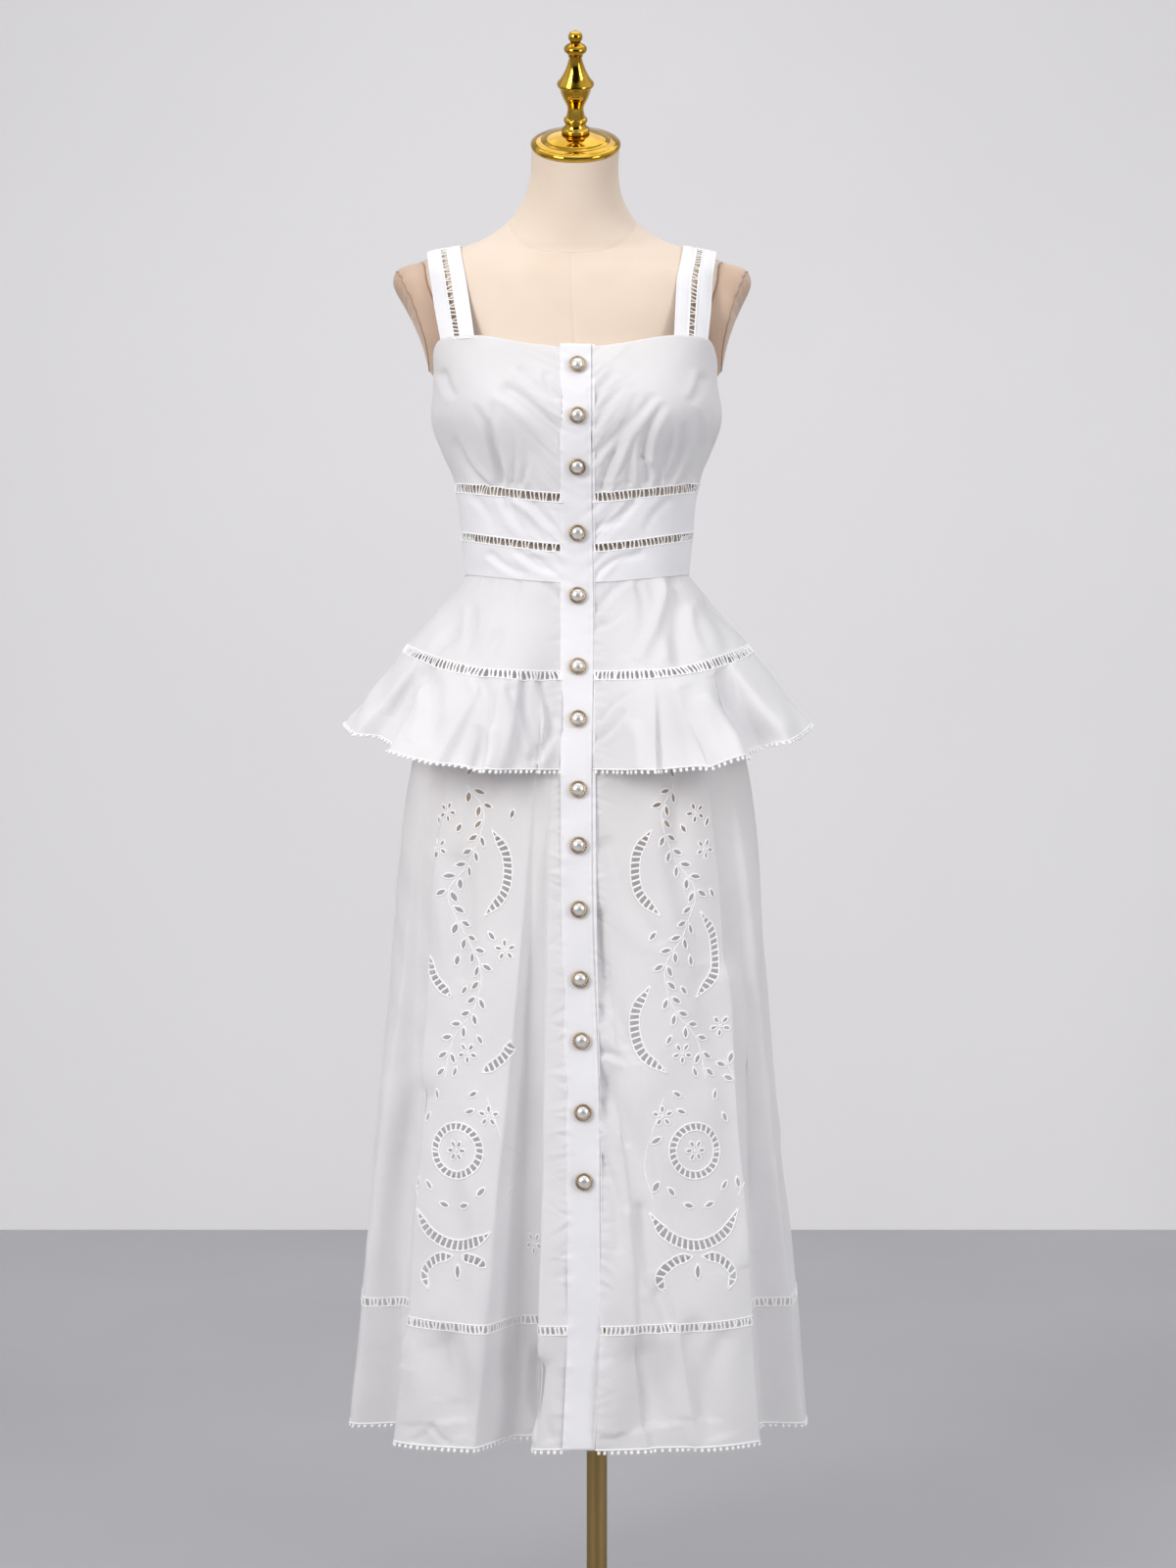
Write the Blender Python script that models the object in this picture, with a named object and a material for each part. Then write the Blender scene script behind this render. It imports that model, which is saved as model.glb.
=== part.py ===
"""White button-through midi dress on a limbless dress form with a round stand.

Metres, +Z up, the front of the dress faces -Y. The origin is the centre of the base's
underside, on the pole's axis. "Right" and "left" are the wearer's: right lies at -X.

Every cloth piece is a thin wall cut from a Layer: a surface given by an angle round the
body (0 at the front, 90 at the wearer's left side) and a drop below the layer's top row.
"""
import math
from collections import namedtuple

import bmesh
import bpy
from mathutils import Matrix, Vector
from mathutils.bvhtree import BVHTree

# ---- driving dimensions ------------------------------------------------------------
CLOTH = 0.0012                # wall of one layer of cotton, as built
SEAM = 0.0003                 # clearance kept between two pieces that meet
BAND_SEAM = 0.0004            # the same beside the button band, whose edges curve
SIDE_SEAM = 90.0              # angle of the side seams, degrees
COLUMN_STEP = 14.0            # widest step between two columns of a panel, degrees
NORMAL_STEP = (0.25, 0.0008)  # degrees and metres that a surface's direction is read over
HALVINGS = 40                 # of a range, when a place on a surface is searched for
SHARP_EDGE = 50.0             # edges that turn by more than this are shaded sharp, degrees
DEEP_FOLD = 0.020             # folds deeper than this have five columns, others three
FRONT_START = 8.0             # nominal angle of a panel's edge beside the button band
FRONT_REACH = 6.0             # that edge follows the band; columns past this do not move

PLACKET_WIDTH = 0.0364
PLACKET_WALL = 0.0030         # the folded band and the stand it is buttoned to
PLACKET_PROUD = 0.0012        # how far the band stands out of the panels
PLACKET_TOP = 1.379
PLACKET_HEM = 0.2545

STRAP_WIDTH = 0.036           # two strips with a ladder between them
STRAP_LADDER = 0.006
STRAP_CLEARANCE = 0.0016      # from the shoulder of the form, at its closest
STRAP_PIVOT = (0.008, 1.400)  # y and z of the line that the strap arches over
STRAP_FRONT = 0.1225          # from the middle line to the strap's middle, at the bust
STRAP_TOP = 0.1370            # the same on the shoulder
STRAP_BACK = 0.1100           # the same at the back
STRAP_STEPS = 22
STRAP_REACH = 0.004           # half as wide as the strip that is measured under a strap

BUTTON_RADIUS = 0.0090
BUTTON_SIDES = 10
BUTTON_LIFT = 0.0001          # more clearance, where the band is curved
BUTTON_RAY = 0.05             # a ray that finds a button's seat starts this far out

FORM_SIDES = 26
FORM_STEP = 0.030             # height of one ring of the form, about
NECK_TILT = 30.0              # the neck's top faces forward by this much, degrees
CAP_RADIUS = 0.0480
CAP_SIDES = 28
FINIAL_SIDES = 14
ARM_CAP = dict(z=1.416, y=0.004, tall=0.054, deep=0.042, bulge=0.021, gap=0.0007, hollow=0.002)
ARM_CAP_SIDES = 20
ARM_CAP_REACH = 0.008         # half as wide as the patch that is measured under a cap
ARM_CAP_RINGS = (0.0, 0.45, 0.75, 0.92, 1.0)

POLE_RADIUS = 0.0110
POLE_SIDES = 16
FORM_FOOT = 0.862             # underside of the form
BASE_RADIUS = 0.150
BASE_HEIGHT = 0.024
BASE_SIDES = 32

RAY_START = 0.3               # rays at the form start this far out

# ---- the lines that the dress hangs on ---------------------------------------------
# The form stands a little to one side of its pole and leans: x of its middle, by height.
Bend = namedtuple("Bend", "z x")
MIDDLE_LINE = [
    Bend(0.25, -0.0195),
    Bend(1.14, -0.0210),
    Bend(1.38, -0.0235),
    Bend(1.48, -0.0270),
    Bend(1.60, -0.0226),
]
# x of the button band's middle, by height: it wanders as it hangs.
PLACKET_LINE = [
    Bend(0.25, -0.0175),
    Bend(0.37, -0.0125),
    Bend(0.52, -0.0136),
    Bend(0.80, -0.0188),
    Bend(1.00, -0.0200),
    Bend(1.38, -0.0205),
]
# How far the outermost cloth stands in front of the middle, by height.
Front = namedtuple("Front", "z depth")
FRONT_LINE = [
    Front(0.249, 0.200),
    Front(0.447, 0.186),
    Front(0.700, 0.162),
    Front(0.933, 0.139),
    Front(1.030, 0.119),
    Front(1.085, 0.106),
    Front(1.131, 0.100),
    Front(1.167, 0.101),
    Front(1.219, 0.108),
    Front(1.262, 0.119),
    Front(1.300, 0.127),
    Front(1.375, 0.110),
    Front(1.400, 0.104),
]

# ---- sections of each layer --------------------------------------------------------
# z at front, side and back; half width; how far the front lies behind the front line
# (negative: it swells past it, away from the band); depth of the back; squareness.
Row = namedtuple("Row", "name z_front z_side z_back half inset back power")
BODICE_ROWS = [
    Row("top", 1.400, 1.400, 1.400, 0.1580, 0.0, 0.104, 3.8),
    Row("armhole", 1.350, 1.352, 1.352, 0.1515, 0.0, 0.105, 3.0),
    Row("bust", 1.300, 1.304, 1.304, 0.1545, 0.0, 0.106, 2.4),
    Row("under bust", 1.262, 1.274, 1.274, 0.1440, 0.0, 0.101, 2.2),
    Row("ladder 1 top", 1.223, 1.239, 1.236, 0.1300, 0.0, 0.094, 2.2),
    Row("ladder 1 foot", 1.215, 1.231, 1.228, 0.1290, 0.0, 0.093, 2.2),
    Row("ladder 2 top", 1.1705, 1.187, 1.182, 0.1240, 0.0, 0.090, 2.2),
    Row("ladder 2 foot", 1.1635, 1.180, 1.175, 0.1235, 0.0, 0.090, 2.2),
    Row("waist", 1.1310, 1.142, 1.138, 0.1200, 0.0, 0.090, 2.2),
]
PEPLUM_ROWS = [
    Row("waist", 1.1310, 1.142, 1.138, 0.1200, 0.000, 0.090, 2.2),
    Row("yoke", 1.0860, 1.105, 1.096, 0.1500, -0.016, 0.113, 2.2),
    Row("ladder 3 top", 1.0385, 1.069, 1.052, 0.1820, -0.036, 0.146, 2.3),
    Row("ladder 3 foot", 1.0310, 1.062, 1.045, 0.1870, -0.039, 0.150, 2.3),
    Row("flare", 0.9850, 1.022, 1.000, 0.2170, -0.050, 0.172, 2.4),
    Row("edge", 0.9385, 0.985, 0.952, 0.2470, -0.060, 0.195, 2.5),
    Row("picots", 0.9335, 0.980, 0.947, 0.2500, -0.061, 0.197, 2.5),
]
SKIRT_ROWS = [
    Row("waist", 1.1310, 1.142, 1.138, 0.1170, 0.003, 0.087, 2.2),
    Row("hip", 1.0300, 1.040, 1.037, 0.1500, 0.004, 0.120, 2.2),
    Row("under peplum", 0.9300, 0.935, 0.933, 0.1790, 0.003, 0.148, 2.4),
    Row("thigh", 0.7000, 0.702, 0.702, 0.2005, 0.000, 0.170, 2.7),
    Row("knee", 0.4470, 0.450, 0.450, 0.2235, 0.000, 0.190, 2.9),
    Row("ladder 4 top", 0.3765, 0.3865, 0.3800, 0.2297, 0.000, 0.195, 3.0),
    Row("ladder 4 foot", 0.3695, 0.3795, 0.3730, 0.2303, 0.000, 0.195, 3.0),
    Row("edge", 0.2550, 0.2540, 0.2540, 0.2412, 0.000, 0.202, 3.0),
    Row("picots", 0.2495, 0.2480, 0.2480, 0.2416, 0.000, 0.202, 3.0),
]

# Top edge of the bodice: its height by angle.
Edge = namedtuple("Edge", "angle z")
NECKLINE = [
    Edge(0, 1.3745),
    Edge(25, 1.3800),
    Edge(50, 1.3890),
    Edge(62, 1.3860),
    Edge(76, 1.3680),
    Edge(90, 1.3560),
    Edge(110, 1.3510),
    Edge(145, 1.3520),
    Edge(180, 1.3520),
]
# The gathered bust swells a little on each side.
BUST = dict(angle=35.0, spread=19.0, z=1.302, reach=0.040, swell=0.009)

# ---- folds -------------------------------------------------------------------------
# Angle at the layer's top and hem, half width in degrees, depth at the hem (negative:
# a trough), and the share of the drop where the fold begins.
Fold = namedtuple("Fold", "top hem half depth start")
SKIRT_FOLDS = [
    Fold(-13, -20.5, 8.0, -0.062, 0.16),
    Fold(7, 26, 5.0, -0.006, 0.28),
    Fold(57, 60, 11.0, -0.044, 0.12),
    Fold(-57, -60, 11.0, -0.046, 0.12),
    Fold(104, 108, 9.0, -0.030, 0.14),
    Fold(134, 138, 10.0, -0.038, 0.14),
    Fold(170, 167, 9.0, -0.028, 0.18),
    Fold(-103, -106, 9.0, -0.034, 0.16),
    Fold(-136, -133, 11.0, -0.040, 0.12),
    Fold(-163, -166, 8.0, -0.026, 0.20),
]
PEPLUM_FOLDS = [
    Fold(-58, -62, 8.0, -0.016, 0.34),
    Fold(-28, -34, 6.0, -0.008, 0.40),
    Fold(-16, -19, 5.0, -0.010, 0.38),
    Fold(32, 30, 6.5, -0.009, 0.42),
    Fold(56, 55, 7.5, -0.016, 0.36),
    Fold(98, 100, 8.0, -0.014, 0.34),
    Fold(128, 131, 8.0, -0.017, 0.36),
    Fold(158, 157, 7.0, -0.012, 0.42),
    Fold(-96, -99, 8.0, -0.013, 0.36),
    Fold(-124, -127, 8.0, -0.017, 0.34),
    Fold(-160, -158, 8.0, -0.013, 0.40),
]
# At the band the peplum is held back to the front line over about this angle.
FRONT_HOLD = 17.0

# ---- the dress form ----------------------------------------------------------------
# Height and y of the section's middle, half width, depths, squareness, forward tilt.
Torso = namedtuple("Torso", "name z y half front back power tilt")
TORSO_ROWS = [
    Torso("foot", FORM_FOOT, 0.000, 0.1400, 0.092, 0.100, 2.2, 0),
    Torso("foot edge", 0.870, 0.000, 0.1460, 0.097, 0.106, 2.2, 0),
    Torso("hip", 0.930, 0.000, 0.1560, 0.103, 0.118, 2.2, 0),
    Torso("high hip", 1.030, 0.000, 0.1370, 0.098, 0.104, 2.2, 0),
    Torso("waist", 1.140, 0.000, 0.1090, 0.088, 0.078, 2.2, 0),
    Torso("ribs", 1.225, 0.000, 0.1190, 0.096, 0.085, 2.2, 0),
    Torso("bust", 1.300, 0.000, 0.1430, 0.114, 0.096, 2.3, 0),
    Torso("chest", 1.375, 0.000, 0.1370, 0.101, 0.093, 2.6, 0),
    Torso("armhole", 1.430, 0.002, 0.1560, 0.088, 0.090, 2.4, 0),
    Torso("shoulder", 1.460, 0.004, 0.1680, 0.077, 0.080, 2.0, 0),
    Torso("shoulder tip", 1.474, 0.005, 0.1660, 0.070, 0.073, 1.7, 2),
    Torso("slope", 1.486, 0.005, 0.1480, 0.066, 0.067, 1.6, 6),
    Torso("neck side", 1.499, 0.003, 0.1120, 0.063, 0.062, 1.7, 14),
    Torso("neck base", 1.514, -0.001, 0.0830, 0.060, 0.060, 1.95, 21),
    Torso("neck", 1.536, -0.008, 0.0640, 0.056, 0.056, 2.0, 25),
    Torso("mid neck", 1.563, -0.018, 0.0540, 0.051, 0.051, 2.0, 28),
    Torso("neck top", 1.596, -0.0285, 0.0475, 0.0475, 0.0475, 2.0, NECK_TILT),
]

# Turned pieces: radius and height above the piece's foot, bottom to top.
Turn = namedtuple("Turn", "radius height")
CAP_PROFILE = [
    Turn(0.0450, 0.0000),
    Turn(CAP_RADIUS, 0.0020),
    Turn(CAP_RADIUS, 0.0055),
    Turn(0.0440, 0.0082),
    Turn(0.0355, 0.0090),
    Turn(0.0330, 0.0118),
    Turn(0.0220, 0.0150),
    Turn(0.0150, 0.0165),
]
FINIAL_PROFILE = [
    Turn(0.0145, 0.0000),
    Turn(0.0140, 0.0050),
    Turn(0.0112, 0.0086),
    Turn(0.0104, 0.0135),
    Turn(0.0104, 0.0190),
    Turn(0.0088, 0.0259),
    Turn(0.0120, 0.0340),
    Turn(0.0158, 0.0430),
    Turn(0.0174, 0.0500),
    Turn(0.0196, 0.0545),
    Turn(0.0135, 0.0640),
    Turn(0.0090, 0.0720),
    Turn(0.0064, 0.0815),
    Turn(0.0066, 0.0850),
    Turn(0.0120, 0.0895),
    Turn(0.0118, 0.0930),
    Turn(0.0062, 0.0985),
    Turn(0.0074, 0.1045),
    Turn(0.0045, 0.1105),
]
POLE_LENGTH = FORM_FOOT - BASE_HEIGHT - 2 * SEAM
POLE_PROFILE = [
    Turn(POLE_RADIUS, 0.0000),
    Turn(POLE_RADIUS, POLE_LENGTH - 0.0174),
    Turn(0.0190, POLE_LENGTH - 0.0154),
    Turn(0.0190, POLE_LENGTH - 0.0064),
    Turn(0.0340, POLE_LENGTH - 0.0044),
    Turn(0.0340, POLE_LENGTH),
]
BASE_PROFILE = [
    Turn(BASE_RADIUS - 0.002, 0.0000),
    Turn(BASE_RADIUS, 0.0030),
    Turn(BASE_RADIUS, 0.0100),
    Turn(BASE_RADIUS - 0.008, 0.0150),
    Turn(0.0500, 0.0190),
    Turn(0.0240, BASE_HEIGHT),
]
# Seen from the side, a button: a shank, a corded rim and a low dome.
BUTTON_PROFILE = [
    Turn(0.0030, 0.0000),
    Turn(0.0034, 0.0012),
    Turn(0.0078, 0.0014),
    Turn(BUTTON_RADIUS, 0.0026),
    Turn(0.0070, 0.0045),
    Turn(0.0030, 0.0070),
]
BUTTON_HEIGHTS = (
    1.356, 1.303, 1.251, 1.183, 1.118, 1.044, 0.990,
    0.918, 0.861, 0.796, 0.725, 0.663, 0.591, 0.522,
)

# ---- colours -----------------------------------------------------------------------
Finish = namedtuple("Finish", "colour roughness metallic")
FINISHES = {
    "cotton": Finish((0.88, 0.88, 0.89), 0.85, 0.0),
    "ladder_tape": Finish((0.84, 0.83, 0.84), 0.85, 0.0),
    "form_cover": Finish((0.86, 0.76, 0.66), 0.80, 0.0),
    "arm_cover": Finish((0.55, 0.38, 0.28), 0.75, 0.0),
    "polished_gold": Finish((0.78, 0.52, 0.11), 0.15, 1.0),
    "brass": Finish((0.35, 0.24, 0.10), 0.30, 1.0),
    "pearl_button": Finish((0.80, 0.70, 0.50), 0.25, 0.3),
}


def clear_scene():
    """Remove every object of the file that the script runs in."""
    for item in list(bpy.data.objects):
        bpy.data.objects.remove(item, do_unlink=True)


def finish(name):
    """The material of that name, made on first use."""
    found = bpy.data.materials.get(name)
    if found:
        return found
    made = bpy.data.materials.new(name)
    made.use_nodes = True
    shader = made.node_tree.nodes["Principled BSDF"]
    colour, roughness, metallic = FINISHES[name]
    shader.inputs["Base Color"].default_value = (*colour, 1.0)
    shader.inputs["Roughness"].default_value = roughness
    shader.inputs["Metallic"].default_value = metallic
    return made


def curve_through(places, values, place):
    """A smooth curve through the values, read at a place; the places rise."""
    place = min(max(place, places[0]), places[-1])
    i = 0
    while i < len(places) - 2 and place > places[i + 1]:
        i += 1
    width = places[i + 1] - places[i]
    slopes = [slope_at(places, values, k) for k in (i, i + 1)]
    t = (place - places[i]) / width
    return (
        values[i] * (2 * t**3 - 3 * t**2 + 1)
        + values[i + 1] * (3 * t**2 - 2 * t**3)
        + slopes[0] * width * (t**3 - 2 * t**2 + t)
        + slopes[1] * width * (t**3 - t**2)
    )


def slope_at(places, values, k):
    """Slope of that curve at its k-th place: the mean of the two runs that meet there."""
    before = after = None
    if k > 0:
        before = (values[k] - values[k - 1]) / (places[k] - places[k - 1])
    if k < len(places) - 1:
        after = (values[k + 1] - values[k]) / (places[k + 1] - places[k])
    if before is None:
        return after
    if after is None:
        return before
    left = places[k] - places[k - 1]
    right = places[k + 1] - places[k]
    return (before * right + after * left) / (left + right)


def on_line(line, z):
    """The second column of a two-column table, at a height."""
    return curve_through([row[0] for row in line], [row[1] for row in line], z)


def blend(a, b, share):
    return a + (b - a) * share


def ease(share):
    """0 to 1 with a soft start and end."""
    share = min(max(share, 0.0), 1.0)
    return share * share * (3 - 2 * share)


def superellipse(angle, half, depth, power):
    """Distance from the middle to the section's edge, in that direction."""
    across = abs(math.sin(angle)) / half
    along = abs(math.cos(angle)) / depth
    return (across**power + along**power) ** (-1 / power)


def fold_lift(folds, degrees, share):
    """What the folds add to the radius at that angle and share of the drop."""
    lift = 0.0
    for fold in folds:
        middle = blend(fold.top, fold.hem, share)
        away = abs(degrees - middle) / fold.half
        if away < 1 and share > fold.start:
            grown = ease((share - fold.start) / (1 - fold.start)) ** 0.75
            lift += fold.depth * grown * (1 + math.cos(math.pi * away)) / 2
    return lift


def wrap(degrees):
    """The same angle between -180 and 180."""
    return (degrees + 180) % 360 - 180


class Layer:
    """A surface round the body, read by angle and by the drop below its first row."""

    def __init__(self, rows, folds=(), sweep=2.0, swell=None):
        self.rows = rows
        self.folds = folds
        self.sweep = sweep
        self.swell = swell
        self.drops = [rows[0].z_side - row.z_side for row in rows]
        self.depth = self.drops[-1]

    def drop(self, name):
        """Drop of the row of that name."""
        return next(d for d, row in zip(self.drops, self.rows) if row.name == name)

    def column(self, title, drop):
        return curve_through(self.drops, [getattr(row, title) for row in self.rows], drop)

    def height(self, degrees, drop):
        end = "z_front" if abs(degrees) < 90 else "z_back"
        share = abs(math.sin(math.radians(degrees))) ** self.sweep
        return blend(self.column(end, drop), self.column("z_side", drop), share)

    def point(self, degrees, drop):
        z = self.height(degrees, drop)
        angle = math.radians(degrees)
        half = self.column("half", drop)
        power = self.column("power", drop)
        if abs(degrees) < 90:
            held = on_line(FRONT_LINE, z)
            inset = self.column("inset", drop)
            free = superellipse(angle, half, held - inset, power)
            if inset < 0:
                tight = superellipse(angle, half, held, power)
                free = blend(free, tight, math.exp(-((degrees / FRONT_HOLD) ** 2)))
            radius = free
        else:
            radius = superellipse(angle, half, self.column("back", drop), power)
        radius += fold_lift(self.folds, degrees, drop / self.depth)
        if self.swell:
            radius += self.swell(degrees, z)
        x = on_line(MIDDLE_LINE, z) + radius * math.sin(angle)
        return Vector((x, -radius * math.cos(angle), z))

    def normal(self, degrees, drop):
        """Outward direction, from two short steps over the surface."""
        turn, fall = NORMAL_STEP
        across = self.point(degrees + turn, drop) - self.point(degrees - turn, drop)
        low = min(drop + fall, self.depth)
        high = max(drop - fall, 0.0)
        down = self.point(degrees, low) - self.point(degrees, high)
        return down.cross(across).normalized()

    def drop_at(self, degrees, z):
        """The drop where the surface passes a height."""
        low, high = 0.0, self.depth
        for _ in range(HALVINGS):
            middle = (low + high) / 2
            if self.height(degrees, middle) > z:
                low = middle
            else:
                high = middle
        return (low + high) / 2


def bust_swell(degrees, z):
    away = (abs(degrees) - BUST["angle"]) / BUST["spread"]
    rise = (z - BUST["z"]) / BUST["reach"]
    return BUST["swell"] * math.exp(-away * away - rise * rise)


def placket_angle(layer, side, drop):
    """Angle of the panels' front edge, beside the button band; side is -1 or 1."""
    z = layer.height(0, drop)
    edge = on_line(PLACKET_LINE, z) + side * (PLACKET_WIDTH / 2 + BAND_SEAM)
    offset = edge - on_line(MIDDLE_LINE, z)
    depth = -layer.point(0, drop).y
    return math.degrees(math.atan2(offset, depth))


def columns_between(start, stop, folds):
    """Column angles as (top, hem) pairs: some on each fold, even steps between folds."""
    pairs = [(start, start), (stop, stop)]
    for fold in folds:
        shares = (-1, -0.5, 0, 0.5, 1) if abs(fold.depth) > DEEP_FOLD else (-1, 0, 1)
        for share in shares:
            hem = fold.hem + share * fold.half
            if start + 1 < hem < stop - 1:
                pairs.append((fold.top + share * fold.half, hem))
    pairs.sort(key=lambda pair: pair[1])
    last = len(pairs) - 1
    ordered = [pairs[0]]
    for k in range(1, last):
        top = min(max(pairs[k][0], ordered[-1][0] + 1), stop - (last - k))
        ordered.append((top, pairs[k][1]))
    ordered.append(pairs[last])
    filled = [ordered[0]]
    for near, far in zip(ordered, ordered[1:]):
        count = max(1, math.ceil((far[1] - near[1]) / COLUMN_STEP))
        for k in range(1, count + 1):
            share = k / count
            filled.append((blend(near[0], far[0], share), blend(near[1], far[1], share)))
    return filled


def front_columns(side, folds):
    """Columns of a front panel, between the button band and the side seam."""
    near, far = side * FRONT_START, side * SIDE_SEAM
    return columns_between(min(near, far), max(near, far), folds)


def back_columns(folds):
    """Columns of a back panel; its angles run on past 180."""
    turned = [fold._replace(top=fold.top % 360, hem=fold.hem % 360) for fold in folds]
    return columns_between(SIDE_SEAM, 360 - SIDE_SEAM, turned)


def column_angle(layer, pair, drop):
    """Angle of a column at a drop; the one beside the button band follows its edge."""
    degrees = wrap(blend(pair[0], pair[1], drop / layer.depth))
    side = 1 if degrees > 0 else -1
    near = 1 - (abs(degrees) - FRONT_START) / FRONT_REACH
    if near <= 0:
        return degrees
    moved = placket_angle(layer, side, drop) - side * FRONT_START
    return degrees + moved * min(near, 1.0)


def add_object(name, shell, material):
    """Finish a bmesh as a named object with smooth shading and its material."""
    if shell.calc_volume(signed=True) < 0:
        bmesh.ops.reverse_faces(shell, faces=shell.faces)
    mesh = bpy.data.meshes.new(name)
    shell.to_mesh(mesh)
    shell.free()
    mesh.shade_smooth()
    mesh.set_sharp_from_angle(angle=math.radians(SHARP_EDGE))
    mesh.materials.append(finish(material))
    item = bpy.data.objects.new(name, mesh)
    bpy.context.scene.collection.objects.link(item)
    return item


def wall(name, outer, inner, material):
    """A closed thin wall between two grids of points, outer[row][column] and inner."""
    shell = bmesh.new()
    rows, cols = len(outer), len(outer[0])
    out = [[shell.verts.new(p) for p in row] for row in outer]
    into = [[shell.verts.new(p) for p in row] for row in inner]

    def quad(a, b, c, d):
        """Two triangles that share the edge from a to c."""
        shell.faces.new((a, b, c))
        shell.faces.new((a, c, d))

    def quad_back(a, b, c, d):
        """The same two triangles, seen from behind."""
        shell.faces.new((a, c, b))
        shell.faces.new((a, d, c))

    for i in range(rows - 1):
        for j in range(cols - 1):
            quad(out[i][j], out[i + 1][j], out[i + 1][j + 1], out[i][j + 1])
            quad_back(into[i][j], into[i + 1][j], into[i + 1][j + 1], into[i][j + 1])
    for j in range(cols - 1):
        quad(out[0][j], out[0][j + 1], into[0][j + 1], into[0][j])
        quad(out[-1][j + 1], out[-1][j], into[-1][j], into[-1][j + 1])
    for i in range(rows - 1):
        quad(out[i][0], into[i][0], into[i + 1][0], out[i + 1][0])
        quad(out[i][-1], out[i + 1][-1], into[i + 1][-1], into[i][-1])
    return add_object(name, shell, material)


def panel(name, layer, columns, drops, neckline=False, material="cotton"):
    """One cloth piece of a layer between its first and last drop, less its seams."""
    drops = list(drops)
    drops[0] += SEAM / 2
    drops[-1] -= SEAM / 2
    outer, inner = [], []
    for drop in drops:
        outer_row, inner_row = [], []
        for k, pair in enumerate(columns):
            here = drop
            degrees = column_angle(layer, pair, here)
            if neckline:
                top = layer.drop_at(degrees, on_line(NECKLINE, abs(degrees)))
                here = blend(top, drops[-1], (drop - drops[0]) / (drops[-1] - drops[0]))
                degrees = column_angle(layer, pair, here)
            if k in (0, len(columns) - 1) and abs(degrees) > SIDE_SEAM / 2:
                trim = math.degrees(SEAM / 2 / layer.column("half", here))
                degrees += trim if k == 0 else -trim
            spot = layer.point(degrees, here)
            outer_row.append(spot)
            inner_row.append(spot - CLOTH * layer.normal(degrees, here))
        outer.append(outer_row)
        inner.append(inner_row)
    return wall(name, outer, inner, material)


def drops_between(layer, top, foot, count):
    """Even drops from one named row to another, in so many steps."""
    start, stop = layer.drop(top), layer.drop(foot)
    return [blend(start, stop, k / count) for k in range(count + 1)]


def cut_in_three(stem, layer, top, foot, count, neckline=False):
    """A ring of cloth cut as a right front, a left front and a back."""
    drops = drops_between(layer, top, foot, count)
    for name, columns in (
        (stem + "_front_right", front_columns(-1, layer.folds)),
        (stem + "_front_left", front_columns(1, layer.folds)),
        (stem + "_back", back_columns(layer.folds)),
    ):
        panel(name, layer, columns, drops, neckline)


def one_length(name, layer, top, foot):
    """A tape or an edging in one length, all round from one side of the band to the other."""
    left = front_columns(1, layer.folds)
    back = back_columns(layer.folds)
    right = [(a + 360, b + 360) for a, b in front_columns(-1, layer.folds)]
    columns = left + back[1:-1] + right
    return panel(name, layer, columns, drops_between(layer, top, foot, 1), material="ladder_tape")


def band_depth(layer, offset, z):
    """How far in front the cloth lies beside the middle, at an offset across."""
    drop = layer.drop_at(0, z)
    half, power = layer.column("half", drop), layer.column("power", drop)
    return on_line(FRONT_LINE, z) * (1 - (abs(offset) / half) ** power) ** (1 / power)


def band_point(bodice, skirt, across, z):
    """A point of the button band's outer face; across runs from -1 to 1."""
    x = on_line(PLACKET_LINE, z) + across * PLACKET_WIDTH / 2
    layer = bodice if z > BODICE_ROWS[-1].z_front else skirt
    depth = band_depth(layer, x - on_line(MIDDLE_LINE, z), z)
    return Vector((x, -depth - PLACKET_PROUD, z))


def band_normal(bodice, skirt, z):
    """Outward direction of the band at a height."""
    step = PLACKET_WALL
    rise = band_point(bodice, skirt, 0, z + step) - band_point(bodice, skirt, 0, z - step)
    return Vector((1, 0, 0)).cross(rise).normalized()


def button_band(bodice, peplum, skirt):
    """The band down the front in one length, with a row beside each row of the panels."""
    heights = {PLACKET_TOP, PLACKET_HEM}
    cuts = (
        (bodice, "armhole", "ladder 1 top", 4),
        (bodice, "ladder 1 foot", "ladder 2 top", 1),
        (bodice, "ladder 2 foot", "waist", 1),
        (peplum, "waist", "ladder 3 top", 3),
        (peplum, "ladder 3 foot", "edge", 3),
        (skirt, "under peplum", "ladder 4 top", 8),
        (skirt, "ladder 4 foot", "edge", 2),
    )
    for layer, top, foot, count in cuts:
        for drop in drops_between(layer, top, foot, count):
            heights.add(round(layer.height(0, drop), 5))
    outer, inner = [], []
    for z in sorted(heights, reverse=True):
        if not PLACKET_HEM <= z <= PLACKET_TOP:
            continue
        away = band_normal(bodice, skirt, z) * PLACKET_WALL
        row = [band_point(bodice, skirt, across, z) for across in (-1, 0, 1)]
        outer.append(row)
        inner.append([spot - away for spot in row])
    return wall("button_band", outer, inner, "cotton")


def tree_of(item):
    """A tree of an object's faces, to cast rays at."""
    corners = [vertex.co for vertex in item.data.vertices]
    return BVHTree.FromPolygons(corners, [face.vertices[:] for face in item.data.polygons])


def turned(name, profile, sides, place, material):
    """A solid of revolution; place puts its foot and its axis where they belong."""
    shell = bmesh.new()
    rings = []
    for radius, height in profile:
        ring = []
        for k in range(sides):
            angle = math.tau * k / sides
            spot = Vector((radius * math.cos(angle), radius * math.sin(angle), height))
            ring.append(shell.verts.new(place @ spot))
        rings.append(ring)
    join_rings(shell, rings)
    return add_object(name, shell, material)


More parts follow.
